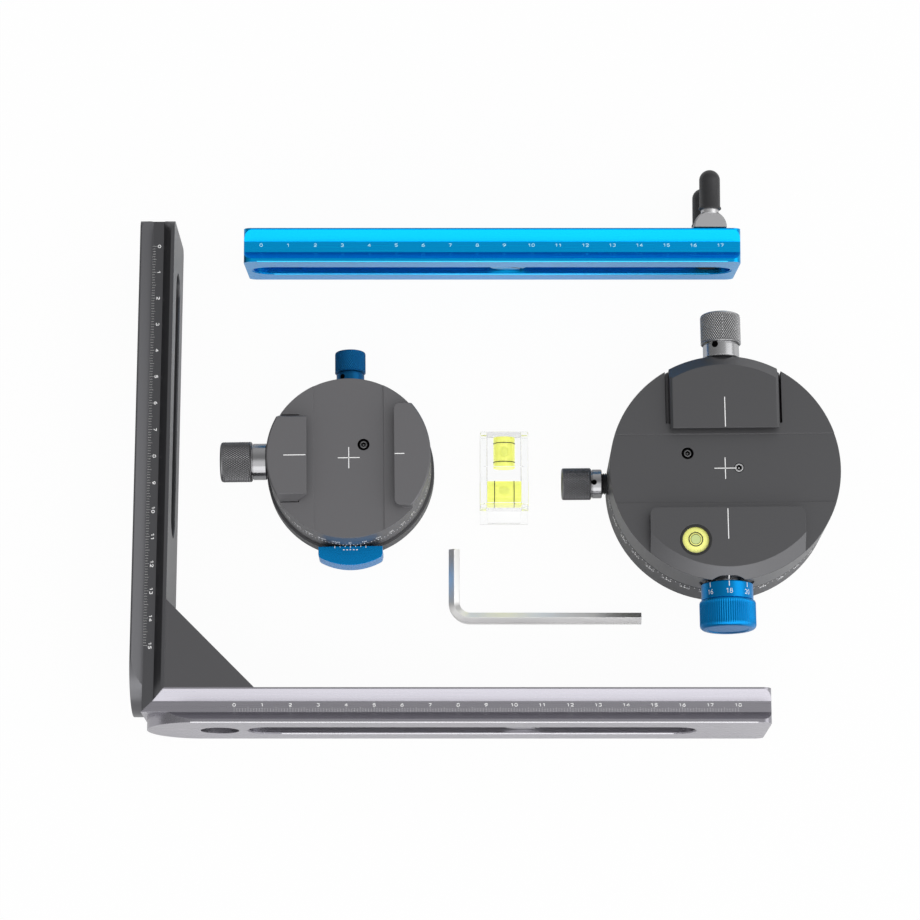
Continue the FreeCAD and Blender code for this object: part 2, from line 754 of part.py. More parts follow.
# ---- large rotator ---------------------------------------------------------------------------------------
large_place = Placement(Vector(0, 0, 0), Rotation(Vector(0, 0, 1), large_turn))
large_deck_low = large_base_height + pan_gap
large_floor = large_deck_low + large_deck_height
web_low = large_base_height - base_web_height
drum_top = web_low - pan_gap
clamp_height = large_floor - large_clamp_depth
base_plate_radius = large_radius - base_rim
base_cavity_radius = large_radius - base_wall
base_screw_circle = (base_plate_radius + base_cavity_radius) / 2
drum_radius = base_cavity_radius - drum_gap
detent_ring_outer = large_radius - detent_ring_setback
row_end = detent_ring_outer - detent_ring_margin
index_row_start = row_end - index_row_pitch * (len(index_rows) - 1)
detent_ring_inner = index_row_start - detent_ring_inner_margin
bush_radius = spindle_radius + running_gap + bush_wall
bush_flange_radius = detent_ring_inner - bush_flange_gap
index_recess_floor = large_radius - index_recess_depth
large_pocket_half = large_jaw_foot_half + sliding_gap
vial_x = (large_radius - vial_inset) * math.cos(math.radians(vial_azimuth))
vial_y = (large_radius - vial_inset) * math.sin(math.radians(vial_azimuth))


def around(shape, circle, count, first=45.0):
    """Copies of an upright piece spaced round a circle."""
    copies = []
    for i in range(count):
        angle = math.radians(first + 360.0 * i / count)
        copy = shape.copy()
        copy.translate(Vector(circle * math.cos(angle), circle * math.sin(angle), 0))
        copies.append(copy)
    return copies


def countersunk(radius, head_radius, length, low):
    """Countersunk screw pointing up, its flat head at height low."""
    sink = head_radius - radius
    shape = turned([(0, low), (head_radius, low), (radius, low + sink), (radius, low + length),
                    (0, low + length)])
    return shape


def base_screw_shapes():
    """Screws that hold the bottom plate."""
    screw = countersunk(base_screw_radius, base_screw_head_radius, base_screw_length, 0)
    return around(screw, base_screw_circle, base_screw_count)


def pan_base():
    """Fixed base ring: a web carries the bush, and the wall carries the pan lock."""
    flange_seat = large_base_height - bush_flange_height + pan_gap
    body = turned([(base_plate_radius, 0), (large_radius - base_chamfer, 0), (large_radius, base_chamfer),
                   (large_radius, large_base_height - base_chamfer / 2),
                   (large_radius - base_chamfer / 2, large_base_height),
                   (bush_flange_radius, large_base_height), (bush_flange_radius, flange_seat),
                   (bush_radius, flange_seat), (bush_radius, web_low), (base_cavity_radius, web_low),
                   (base_cavity_radius, base_plate_height), (base_plate_radius, base_plate_height)])
    lock_bore = rod(lock_screw_radius + running_gap, drum_radius - 1, large_radius + 1, 180, lock_height)
    return body.cut([lock_bore] + base_screw_shapes())


def base_plate():
    """Bottom plate with the boss that holds the tripod bush."""
    body = turned([(tripod_bush_radius, 0), (base_plate_radius, 0), (base_plate_radius, base_plate_height),
                   (tripod_boss_radius, base_plate_height), (tripod_boss_radius, tripod_bush_height),
                   (tripod_bush_radius, tripod_bush_height)])
    return body.cut(base_screw_shapes())


def base_screws():
    """Countersunk screws of the bottom plate, with cross slots left plain."""
    return Part.makeCompound(base_screw_shapes())


def tripod_bush():
    """Steel bush for the tripod's 3/8 in screw."""
    return ring(tripod_thread_radius, tripod_bush_radius, 0, tripod_bush_height)


def pan_bush():
    """Flanged bush: carries the spindle and the deck's weight."""
    flange_seat = large_base_height - bush_flange_height + pan_gap
    inner = spindle_radius + running_gap
    return turned([(inner, web_low), (bush_radius, web_low), (bush_radius, flange_seat),
                   (bush_flange_radius, flange_seat), (bush_flange_radius, large_deck_low),
                   (inner, large_deck_low)])


def spindle():
    """Steel spindle screwed up into the turning body."""
    body = post(spindle_radius, drum_top, large_deck_low + spindle_socket_depth)
    return body.cut(post(spindle_screw_radius, drum_top - 1, drum_top + spindle_screw_length))


def thrust_washer():
    """Washer between the brake drum and the base's web."""
    return ring(spindle_radius + running_gap, thrust_washer_radius, drum_top, web_low)


def brake_drum():
    """Drum on the spindle's lower end, which the brake shoe grips."""
    web = drum_top - drum_web_height
    rim_inner = drum_radius - drum_rim_width
    body = turned([(0, web), (rim_inner, web), (rim_inner, drum_top - drum_rim_height),
                   (drum_radius, drum_top - drum_rim_height), (drum_radius, drum_top), (0, drum_top)])
    head = post(spindle_screw_head_radius, web - 1, web + spindle_screw_head_height)
    return body.cut([head, post(spindle_screw_radius, web, drum_top + 1)])


def spindle_screw():
    """Low-head screw that holds the drum to the spindle."""
    web = drum_top - drum_web_height
    seat = web + spindle_screw_head_height
    body = turned([(0, web), (spindle_screw_head_radius, web), (spindle_screw_head_radius, seat),
                   (spindle_screw_radius, seat), (spindle_screw_radius, drum_top + spindle_screw_length),
                   (0, drum_top + spindle_screw_length)])
    return body.cut(socket(spindle_screw_radius, web - 1, web + 1))


def detent_ring():
    """Fixed ring with one row of dimples for each number of stops per turn."""
    top = large_base_height + detent_ring_height
    body = ring(detent_ring_inner, detent_ring_outer, large_base_height, top)
    dimples = []
    for row, count in enumerate(index_rows):
        radius = index_row_start + row * index_row_pitch
        cone = Part.makeCone(0, dimple_radius, dimple_depth, Vector(0, 0, top - dimple_depth))
        dimples += around(cone, radius, count, first=-90.0)
    return body.cut(dimples)


def detent_pin_shapes(radius, low, high):
    """One upright pin for each row of dimples, under the camshaft."""
    return [post(radius, low, high, 0, -(index_row_start + row * index_row_pitch))
            for row in range(len(index_rows))]


def detent_pins():
    """Pins that the camshaft's lobes press into the dimples."""
    low = large_base_height + detent_ring_height + running_gap
    high = index_height - cam_lobe_offset - cam_lobe_radius - running_gap
    return Part.makeCompound(detent_pin_shapes(detent_pin_radius, low, high))


def index_camshaft():
    """Camshaft with one lobe for each row, each an eighth of a turn on from the last."""
    journal = cam_lobe_offset + cam_lobe_radius
    journal_start = row_end + cam_lobe_width
    tail = index_row_start - cam_lobe_width
    shaft = turned([(0, tail), (camshaft_radius, tail), (camshaft_radius, journal_start),
                    (journal, journal_start), (journal, index_knob_start + cam_journal_length),
                    (0, index_knob_start + cam_journal_length)])
    lobes = []
    for row in range(len(index_rows)):
        angle = math.radians(360.0 * row / len(index_rows))
        distance = index_row_start + row * index_row_pitch
        lobes.append(post(cam_lobe_radius, distance - cam_lobe_width / 2, distance + cam_lobe_width / 2,
                          cam_lobe_offset * math.cos(angle), cam_lobe_offset * math.sin(angle)))
    return moved(outward(shaft.fuse(lobes), -90, index_height), large_place)


def clamp_body():
    """Turning body of the large rotator: clamp channel above, index selector in its wall."""
    deck = clamp_deck(large_radius, large_deck_low, large_floor, large_moving_face, large_fixed_face,
                      large_fixed_jaw_half, large_jaw_corner, large_pocket_half, large_pocket_depth,
                      large_jaw_bevel)
    journal = cam_lobe_offset + cam_lobe_radius
    channel_top = large_floor - relief_depth
    room_top = large_base_height + detent_ring_height + detent_room
    wall = pin_wall(large_moving_face)
    cuts = [ring(detent_ring_inner - detent_room, detent_ring_outer + detent_room,
                 large_deck_low - 1, room_top),
            post(spindle_radius, large_deck_low - 1, large_deck_low + spindle_socket_depth),
            rod(clamp_screw_radius + running_gap, 0, wall + 1, 90, clamp_height),
            rod(journal + running_gap, index_row_start - cam_lobe_width, large_radius + 1, -90, index_height),
            rod(index_collar_radius + index_recess_gap, index_recess_floor, index_knob_end, -90,
                index_height),
            post(vial_cup_radius, large_floor + jaw_height - vial_depth, large_floor + jaw_height + 1,
                 vial_x, vial_y),
            post(stop_screw_radius, channel_top - stop_screw_depth, large_floor + 1,
                 stop_screw_x, stop_screw_y),
            post(centre_screw_radius, channel_top - stop_screw_depth, large_floor + 1,
                 centre_screw_x, centre_screw_y)]
    cuts += guide_pin_set(large_radius, large_moving_face, clamp_height, large_pin_spread)
    cuts += detent_pin_shapes(detent_pin_radius + running_gap, room_top - 1, index_height - journal)
    return moved(deck.cut(cuts), large_place)


def large_jaw():
    """Moving jaw of the large rotator."""
    step = large_floor - large_jaw_foot_drop
    top = large_floor + jaw_height
    flank = [(large_jaw_foot_half, step), (large_jaw_half, step), (large_jaw_half, top - large_jaw_chamfer),
             (large_jaw_half - large_jaw_chamfer, top)]
    jaw = moving_jaw(large_radius, large_floor, large_moving_face, flank, large_pocket_depth, large_jaw_bevel,
                     large_clamp_depth, large_pin_spread)
    return moved(jaw, large_place)


def level_cup():
    """Black ring that holds the bull's-eye vial in the fixed jaw."""
    top = large_floor + jaw_height
    cup = post(vial_cup_radius, top - vial_depth, top, vial_x, vial_y)
    return cup.cut(post(vial_radius, top - vial_depth + 0.5, top + 1, vial_x, vial_y))


def level_vial():
    """Bull's-eye vial with a slightly domed glass."""
    top = large_floor + jaw_height
    seat = top - vial_depth + 0.5
    rim = top - 0.9
    rise = 0.5
    ball = (vial_radius ** 2 + rise ** 2) / (2 * rise)
    body = post(vial_radius, seat, rim + rise, vial_x, vial_y)
    return body.common(Part.makeSphere(ball, Vector(vial_x, vial_y, rim + rise - ball)))


def lock_knob():
    """Knob of the pan lock."""
    return outward(knob(lock_knob_radius, lock_knob_length, lock_collar_radius, lock_collar_length,
                        lock_screw_radius, lock_knob_start, knob_edge), 180, lock_height)


def lock_screw():
    """Screw of the pan lock, from the knob to the brake shoe."""
    tip = drum_radius + lock_gap + shoe_length + running_gap
    return rod(lock_screw_radius, tip, lock_knob_end - lock_knob_length / 3, 180, lock_height)


def brake_shoe():
    """Brass shoe with a hollow face that fits the drum."""
    shoe = rod(lock_screw_radius, drum_radius - 1, drum_radius + lock_gap + shoe_length, 180, lock_height)
    return shoe.cut(post(drum_radius + lock_gap, 0, large_base_height))


def clamp_knob():
    """Knob of the large clamp, which bears on the moving jaw."""
    return outward(knob(clamp_knob_radius, clamp_knob_length, clamp_collar_radius, clamp_collar_length,
                        clamp_screw_radius, large_radius + running_gap, knob_edge), 90, clamp_height)


def clamp_screw_end(radius):
    """Where a clamp screw ends inside its knob."""
    return radius + running_gap + clamp_collar_length + clamp_knob_length * 2 / 3


def clamp_screw():
    """Screw of the large clamp, through the jaw into the body."""
    return rod(clamp_screw_radius, 1.0, clamp_screw_end(large_radius), 90, clamp_height)


def index_knob():
    """Selector knob: numbered collar and fluted grip."""
    journal = cam_lobe_offset + cam_lobe_radius
    neck = index_knob_start + index_collar_length
    end = neck + index_knob_length
    seat = index_knob_start + cam_journal_length
    body = turned([(journal, index_knob_start), (index_collar_radius, index_knob_start),
                   (index_collar_radius, neck), (index_knob_radius - knob_edge, neck),
                   (index_knob_radius, neck + knob_edge), (index_knob_radius, end - index_knob_edge / 2),
                   (index_knob_radius - index_knob_edge / 2, end), (0, end), (0, seat), (journal, seat)])
    return outward(body, -90, index_height)


# ---- small rotator: built with its jaw at +Y, then turned so that the jaw faces -X ----------------------
small_place = Placement(Vector(small_x, small_y, 0), Rotation(Vector(0, 0, 1), small_turn))
small_deck_place = small_place * Placement(Vector(0, 0, 0), Rotation(Vector(0, 0, 1), 90))
small_deck_low = small_base_height + pan_gap
small_floor = small_deck_low + small_deck_height
small_clamp_height = small_floor - small_clamp_depth
small_pocket_half = small_jaw_foot_half + sliding_gap
small_base_foot_radius = small_base_radius - small_base_foot_inset
small_groove_outer = small_base_radius - small_base_wall
small_skirt_outer = small_groove_outer - small_skirt_gap
small_skirt_inner = small_skirt_outer - small_skirt_width
small_groove_inner = small_skirt_inner - small_skirt_inner_gap
small_lock_knob_start = small_base_radius + small_lock_reach
small_lock_knob_end = small_lock_knob_start + small_lock_collar_length + small_lock_knob_length
cavity_top = small_deck_low + small_cavity_height
flange_low = cavity_top - pan_gap - small_post_flange_height
block_back = small_radius + pan_gap
block_screw_height = (small_base_foot_height + index_block_shelf) / 2


def index_block_screw_shapes():
    """Two screws through the foot of the index block into the base's facet."""
    seat = block_back + index_block_foot_depth / 2
    screw = turned([(0, seat - index_block_screw_length),
                    (index_block_screw_radius, seat - index_block_screw_length),
                    (index_block_screw_radius, seat), (index_block_screw_head_radius, seat),
                    (index_block_screw_head_radius, seat + 1), (0, seat + 1)])
    return beside(outward(screw, -90, block_screw_height), index_block_screw_spread)


def small_base():
    """Fixed base of the small rotator: a groove takes the deck's skirt, a facet the index block."""
    body = turned([(small_post_radius, 0), (small_base_foot_radius, 0),
                   (small_base_foot_radius, small_base_foot_height),
                   (small_base_radius, small_base_foot_height), (small_base_radius, small_base_height),
                   (small_groove_outer, small_base_height), (small_groove_outer, small_floor_height),
                   (small_groove_inner, small_floor_height), (small_groove_inner, small_base_height),
                   (small_post_radius, small_base_height)])
    facet = block(-small_base_radius, small_base_radius, -small_base_radius - 1, -block_back,
                  -1, small_base_height + 1)
    lock_bore = rod(small_lock_screw_radius + running_gap, small_groove_outer - 1, small_base_radius + 1, 90,
                    small_lock_height)
    return moved(body.cut([facet, lock_bore] + index_block_screw_shapes()), small_place)


def bowed_block(depth, low, high):
    """Upright block on the base's facet with a bowed outer face."""
    half = index_block_width / 2
    front = block_back + depth
    body = block(-half, half, -front - 1, -block_back, low, high)
    return body.common(post(index_block_arc, low, high, 0, index_block_arc - front))


def index_block():
    """Blue index block: its upper part hangs over its foot, beside the deck's degree scale."""
    head = bowed_block(index_block_depth, index_block_shelf, index_block_top)
    corners = [edge for edge in head.Edges if edge.CenterOfMass.y < -block_back - 1
               and abs(edge.Length - (index_block_top - index_block_shelf)) < 0.01]
    head = head.makeFillet(index_block_corner, corners)
    foot = bowed_block(index_block_foot_depth, small_base_foot_height, index_block_shelf)
    seat = block_back + index_block_foot_depth / 2
    sink = rod(index_block_screw_head_radius, seat, block_back + index_block_foot_depth + 1, -90,
               block_screw_height)
    cuts = beside(sink, index_block_screw_spread) + index_block_screw_shapes()
    return moved(head.fuse(foot).removeSplitter().cut(cuts), small_place)


def index_block_screws():
    """The index block's two screws."""
    return moved(Part.makeCompound(index_block_screw_shapes()), small_place)


def small_spindle():
    """Fixed post of the small rotator, tapped 1/4 in from below, with the flange that holds the deck down."""
    body = turned([(small_socket_radius, 0), (small_post_radius, 0), (small_post_radius, flange_low),
                   (small_post_flange_radius, flange_low),
                   (small_post_flange_radius, flange_low + small_post_flange_height),
                   (0, flange_low + small_post_flange_height), (0, small_socket_depth),
                   (small_socket_radius, small_socket_depth)])
    return moved(body, small_place)


def retaining_ring():
    """Ring screwed into the small deck from below, under the post's flange."""
    top = flange_low - small_washer_height
    body = ring(small_post_radius + running_gap, small_cavity_radius, top - small_ring_height, top)
    return moved(body, small_place)


def small_washer():
    """Thrust washer between the retaining ring and the post's flange."""
    body = ring(small_post_radius + running_gap, small_post_flange_radius,
                flange_low - small_washer_height, flange_low)
    return moved(body, small_place)


def small_deck():
    """Turning deck of the small rotator, with the skirt that its lock grips."""
    deck = clamp_deck(small_radius, small_deck_low, small_floor, small_moving_face, small_fixed_face,
                      small_fixed_jaw_half, small_jaw_corner, small_pocket_half, small_pocket_depth,
                      small_jaw_bevel)
    skirt = ring(small_skirt_inner, small_skirt_outer, small_floor_height + small_skirt_foot, small_deck_low)
    deck = fused([deck, skirt])
    channel_top = small_floor - relief_depth
    wall = pin_wall(small_moving_face)
    cuts = [post(small_cavity_radius, small_deck_low - 1, cavity_top),
            rod(clamp_screw_radius + running_gap, 0, wall + 1, 90, small_clamp_height),
            post(stop_screw_radius, channel_top - stop_screw_depth, small_floor + 1, small_stop_screw_y,
                 -small_stop_screw_x)]
    cuts += guide_pin_set(small_radius, small_moving_face, small_clamp_height, small_pin_spread)
    return moved(deck.cut(cuts), small_deck_place)


def small_jaw():
    """Moving jaw of the small rotator, with tapered ends."""
    flank = [(small_jaw_foot_half, small_floor), (small_jaw_half, small_floor + jaw_height)]
    jaw = moving_jaw(small_radius, small_floor, small_moving_face, flank, small_pocket_depth, small_jaw_bevel,
                     small_clamp_depth, small_pin_spread)
    return moved(jaw, small_deck_place)


def small_clamp_knob():
    """Knob of the small clamp."""
    body = knob(clamp_knob_radius, clamp_knob_length, clamp_collar_radius, clamp_collar_length,
                clamp_screw_radius, small_radius + running_gap, knob_edge)
    return moved(outward(body, 90, small_clamp_height), small_deck_place)


def small_clamp_screw():
    """Screw of the small clamp."""
    screw = rod(clamp_screw_radius, 1.0, clamp_screw_end(small_radius), 90, small_clamp_height)
    return moved(screw, small_deck_place)


def small_lock_knob():
    """Blue knob of the small rotator's lock."""
    body = knob(small_lock_knob_radius, small_lock_knob_length, small_lock_collar_radius,
                small_lock_collar_length, small_lock_screw_radius, small_lock_knob_start, knob_edge)
    return moved(outward(body, 90, small_lock_height), small_place)


def small_lock_screw():
    """Screw of the small rotator's lock."""
    tip = small_skirt_outer + lock_gap + small_shoe_length + running_gap
    end = small_lock_knob_end - small_lock_knob_length / 3
    return moved(rod(small_lock_screw_radius, tip, end, 90, small_lock_height), small_place)


def small_brake_shoe():
    """Shoe that the lock screw presses on the deck's skirt."""
    shoe = rod(small_lock_screw_radius, small_skirt_outer - 1,
               small_skirt_outer + lock_gap + small_shoe_length, 90, small_lock_height)
    return moved(shoe.cut(post(small_skirt_outer + lock_gap, 0, small_base_height)), small_place)


# ---- bubble level ---------------------------------------------------------------------------------------
level_place = Placement(Vector(level_x, level_y, 0), Rotation())
vial_height = level_top - vial_tube_radius - 1.6


def vial_tubes(open_ends=0.0):
    """Long vial along Y in the rear block, cross vial along X in the front one; bores run on by open_ends."""
    rear_start = (level_split_y + level_rear_y - vial_tube_length) / 2
    front_middle = level_front_y + vial_wall + vial_tube_radius
    along = Part.makeCylinder(vial_tube_radius, vial_tube_length + open_ends,
                              Vector(0, rear_start, vial_height - level_step), Vector(0, 1, 0))
    across = Part.makeCylinder(vial_tube_radius, cross_tube_length + open_ends,
                               Vector(-cross_tube_length / 2, front_middle, vial_height), Vector(1, 0, 0))
    return [along, across]


def level_block():
    """Clear acrylic body: two blocks on a hot-shoe foot, bored from rear and side for the vials."""
    half = level_width / 2
    end = level_length / 2
    low = level_foot_height + level_neck_height
    rear_top = level_top - level_step
    side = [(level_front_y, low), (level_front_y, level_top), (level_split_y, level_top),
            (level_split_y, rear_top), (level_rear_y, rear_top), (level_rear_y, low)]
    body = prism([Vector(-half, y, z) for y, z in side], Vector(level_width, 0, 0))
    rims = [edge for edge in body.Edges if abs(edge.CenterOfMass.x) < 0.01 and edge.CenterOfMass.z > low + 1
            and abs(edge.CenterOfMass.z - rear_top) + abs(edge.CenterOfMass.y - level_split_y) > 0.01]
    body = body.makeFillet(level_edge, rims)
    neck = block(-level_neck_width / 2, level_neck_width / 2, level_front_y + 1, level_rear_y - 1,
                 level_foot_height - 0.5, low + 1)
    foot = block(-half, half, -end, end, 0, level_foot_height)
    return moved(fused([foot, neck, body]).cut(vial_tubes(level_width)), level_place)


def level_vials():
    """The two vials."""
    return moved(Part.makeCompound(vial_tubes()), level_place)


# ---- hexagon key -----------------------------------------------------------------------------------------
def hex_key():
    """L-shaped hexagon bar, bent across its flats, so that it lies on an edge."""
    flat = key_across_flats / 2
    corner = flat / math.cos(math.radians(30))
    bend = key_bend_radius
    start = Vector(key_corner_x + flat, key_corner_y + key_short, corner)
    long_y = key_corner_y + flat
    bend_start = Vector(start.x, long_y + bend, corner)
    bend_end = Vector(start.x + bend, long_y, corner)
    half_turn = bend * (1 - math.cos(math.radians(45)))
    bend_middle = Vector(start.x + half_turn, long_y + half_turn, corner)
    end = Vector(key_corner_x + key_long, long_y, corner)
    path = Part.Wire([Part.LineSegment(start, bend_start).toShape(),
                      Part.Arc(bend_start, bend_middle, bend_end).toShape(),
                      Part.LineSegment(bend_end, end).toShape()])
    section = [Vector(start.x + corner * math.sin(math.radians(60 * i)), start.y,
                      corner + corner * math.cos(math.radians(60 * i))) for i in range(6)]
    outline = Part.makePolygon(section + section[:1])
    return path.makePipeShell([outline], True, False)


def large(shape):
    """A piece of the large rotator in place."""
    return moved(shape, large_place)


nodes = {
    "lower_arm": lower_arm,
    "upright_arm": upright_arm,
    "corner_gusset": corner_gusset,
    "corner_screws": corner_screws,
    "bracket_screw": bracket_screw,
    "bracket_washer": bracket_washer,
    "nodal_rail": nodal_rail,
    "rail_screw": rail_screw,
    "rail_washer": rail_washer,
    "handle_washer": handle_washer,
    "handle_bar": handle_bar,
    "handle_stud": handle_stud,
    "handle_posts": handle_posts,
    "handle_caps": handle_caps,
    "pan_base": lambda: large(pan_base()),
    "base_plate": lambda: large(base_plate()),
    "base_screws": lambda: large(base_screws()),
    "tripod_bush": lambda: large(tripod_bush()),
    "pan_bush": lambda: large(pan_bush()),
    "detent_ring": lambda: large(detent_ring()),
    "spindle": lambda: large(spindle()),
    "thrust_washer": lambda: large(thrust_washer()),
    "brake_drum": lambda: large(brake_drum()),
    "spindle_screw": lambda: large(spindle_screw()),
    "detent_pins": lambda: large(detent_pins()),
    "index_camshaft": index_camshaft,
    "index_knob": lambda: large(index_knob()),
    "clamp_body": clamp_body,
    "large_jaw": large_jaw,
    "guide_pins": lambda: large(Part.makeCompound(guide_pin_set(large_radius, large_moving_face, clamp_height,
                                                                large_pin_spread))),
    "jaw_springs": lambda: large(Part.makeCompound(jaw_spring_set(large_moving_face, clamp_height,
                                                                  large_pin_spread))),
    "clamp_screw": lambda: large(clamp_screw()),
    "clamp_knob": lambda: large(clamp_knob()),
    "stop_screw": lambda: large(flush_screw(stop_screw_radius, stop_screw_x, stop_screw_y,
                                            large_floor - relief_depth)),
    "centre_screw": lambda: large(flush_screw(centre_screw_radius, centre_screw_x, centre_screw_y,
                                              large_floor - relief_depth)),
    "level_cup": lambda: large(level_cup()),
    "level_vial": lambda: large(level_vial()),
    "lock_knob": lambda: large(lock_knob()),
    "lock_screw": lambda: large(lock_screw()),
    "brake_shoe": lambda: large(brake_shoe()),
    "small_base": small_base,
    "small_spindle": small_spindle,
    "index_block": index_block,
    "index_block_screws": index_block_screws,
    "retaining_ring": retaining_ring,
    "small_washer": small_washer,
    "small_deck": small_deck,
    "small_jaw": small_jaw,
    "small_guide_pins": lambda: moved(Part.makeCompound(guide_pin_set(small_radius, small_moving_face,
                                                                      small_clamp_height, small_pin_spread)),
                                      small_deck_place),
    "small_jaw_springs": lambda: moved(Part.makeCompound(jaw_spring_set(small_moving_face, small_clamp_height,
                                                                        small_pin_spread)), small_deck_place),
    "small_clamp_knob": small_clamp_knob,
    "small_clamp_screw": small_clamp_screw,
    "small_stop_screw": lambda: moved(flush_screw(stop_screw_radius, small_stop_screw_y, -small_stop_screw_x,
                                                  small_floor - relief_depth), small_deck_place),
    "small_lock_knob": small_lock_knob,
    "small_lock_screw": small_lock_screw,
    "small_brake_shoe": small_brake_shoe,
    "level_block": level_block,
    "level_vials": level_vials,
    "hex_key": hex_key,
}

os.makedirs("parts", exist_ok=True)
for name, make in nodes.items():
    shape = make()
    solids = shape.Solids
    if not solids or not all(solid.isValid() and solid.isClosed() and solid.Volume > 0 for solid in solids):
        print("not a closed solid:", name, [(round(s.Volume, 2), s.isValid()) for s in solids])
    shape.exportStep("parts/" + name + ".step")
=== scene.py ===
import json
import math
from collections import namedtuple

import bmesh
import bpy
import numpy as np
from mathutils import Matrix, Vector


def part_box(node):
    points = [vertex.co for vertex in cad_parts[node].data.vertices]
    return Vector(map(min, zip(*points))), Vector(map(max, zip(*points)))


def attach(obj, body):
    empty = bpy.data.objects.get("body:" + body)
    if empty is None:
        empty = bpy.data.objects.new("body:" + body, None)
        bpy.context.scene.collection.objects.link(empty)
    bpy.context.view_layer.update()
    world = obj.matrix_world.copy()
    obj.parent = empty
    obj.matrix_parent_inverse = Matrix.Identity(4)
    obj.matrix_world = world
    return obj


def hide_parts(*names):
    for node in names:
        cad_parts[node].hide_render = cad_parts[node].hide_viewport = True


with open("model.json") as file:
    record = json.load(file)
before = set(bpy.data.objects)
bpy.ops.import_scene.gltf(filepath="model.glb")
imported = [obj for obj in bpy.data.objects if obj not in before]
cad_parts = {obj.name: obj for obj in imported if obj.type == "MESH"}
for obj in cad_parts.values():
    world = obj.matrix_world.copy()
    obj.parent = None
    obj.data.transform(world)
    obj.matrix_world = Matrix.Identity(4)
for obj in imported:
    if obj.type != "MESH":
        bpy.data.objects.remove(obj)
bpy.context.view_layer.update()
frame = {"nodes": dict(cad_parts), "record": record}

# ---- rotator bases ---------------------------------------------
# Each rotator stands on a turned aluminium base, bead-blasted and anodised dark grey. The large base is
# closed from below by a plate held with four screws; the brake drum turns inside it.

blast_scale = 2500.0            # noise cells to the metre in a bead-blasted face
edge_round = 0.00025            # metres


def inputs_of(finish):
    """Inputs of a finish's Principled shader."""
    return finish.node_tree.nodes["Principled BSDF"].inputs


def material(name, values):
    """New node material with values on its Principled shader, then its node tree and the shader's inputs."""
    made = bpy.data.materials.new(name)
    made.use_nodes = True
    for socket, value in values.items():
        inputs_of(made)[socket].default_value = value
    return made, made.node_tree, inputs_of(made)


def add_node(tree, kind, values, sources):
    """New shader node with values on some of its inputs and links from sources to others."""
    made = tree.nodes.new("ShaderNode" + kind)
    for socket, value in values.items():
        made.inputs[socket].default_value = value
    for socket, source in sources.items():
        tree.links.new(source, made.inputs[socket])
    return made


def object_noise(tree, scale, detail=2.0, stretch=(1, 1, 1)):
    """Noise in object coordinates, stretched along the given axes; returns its value socket."""
    place = add_node(tree, "TexCoord", {}, {}).outputs["Object"]
    stretched = add_node(tree, "Mapping", {"Scale": stretch}, {"Vector": place}).outputs["Vector"]
    noise = add_node(tree, "TexNoise", {"Scale": scale, "Detail": detail}, {"Vector": stretched})
    return noise.outputs["Fac"]


def remapped(tree, socket, low, high):
    """A 0 to 1 value spread between low and high."""
    return add_node(tree, "MapRange", {"To Min": low, "To Max": high}, {"Value": socket}).outputs["Result"]


def grained(name, color, metallic, low, high, scale, depth, detail=2.0, stretch=(1, 1, 1), edge=edge_round):
    """Finish with one noise: it spreads the roughness from low to high and bumps the softly rounded edges."""
    made, tree, inputs = material(name, {"Base Color": (*color, 1), "Metallic": metallic})
    noise = object_noise(tree, scale, detail, stretch)
    tree.links.new(remapped(tree, noise, low, high), inputs["Roughness"])
    bevel = add_node(tree, "Bevel", {"Radius": edge}, {})
    bevel.samples = 4
    bump = add_node(tree, "Bump", {"Strength": 1.0, "Distance": depth},
                    {"Height": noise, "Normal": bevel.outputs["Normal"]})
    tree.links.new(bump.outputs["Normal"], inputs["Normal"])
    return made


def anodised(name, color, roughness, metallic, depth=0.000012, stretch=(1, 1, 1), edge=edge_round):
    """Anodised aluminium: a satin metal with a fine grain, drawn out where it was extruded."""
    return grained(name, color, metallic, roughness - 0.05, roughness + 0.05, blast_scale, depth,
                   stretch=stretch, edge=edge)


def dress(finish, *nodes):
    """Give CAD nodes a finish."""
    for node in nodes:
        mesh = frame["nodes"][node].data
        mesh.materials.clear()
        mesh.materials.append(finish)


base_finish = anodised("base_anodised", (0.090, 0.090, 0.094), 0.48, 0.55)
dress(base_finish, "pan_base", "base_plate", "brake_drum", "small_base", "retaining_ring")

# ---- bearings, detents and brakes ------------------------------
# Steel spindles run in bronze bushes and on bronze washers. The index pins are hardened steel and drop
# into the dimples of a steel ring; the brake shoes are bronze plugs on the lock screws.

tool_scale, tool_detail = 900.0, 3.0


def turned_metal(name, color, roughness, depth=0.000008):
    """Bare metal with fine tool marks."""
    return grained(name, color, 1.0, roughness - 0.05, roughness + 0.07, tool_scale, depth, tool_detail)


def soft_solid(name, color, roughness, scale=1200.0, depth=0.00002):
    """Rubber, plastic, paint or black oxide with a faint grain."""
    return grained(name, color, 0.0, roughness - 0.05, roughness + 0.05, scale, depth)


steel_finish = turned_metal("machined_steel", (0.56, 0.56, 0.57), 0.30)
bronze_finish = turned_metal("bearing_bronze", (0.60, 0.42, 0.20), 0.34)
black_steel_finish = soft_solid("black_oxide_steel", (0.016, 0.016, 0.018), 0.36)
dress(steel_finish, "tripod_bush", "spindle", "small_spindle", "detent_ring", "detent_pins", "index_camshaft",
      "base_screws")
dress(bronze_finish, "pan_bush", "thrust_washer", "small_washer", "brake_shoe", "small_brake_shoe")
dress(black_steel_finish, "spindle_screw")

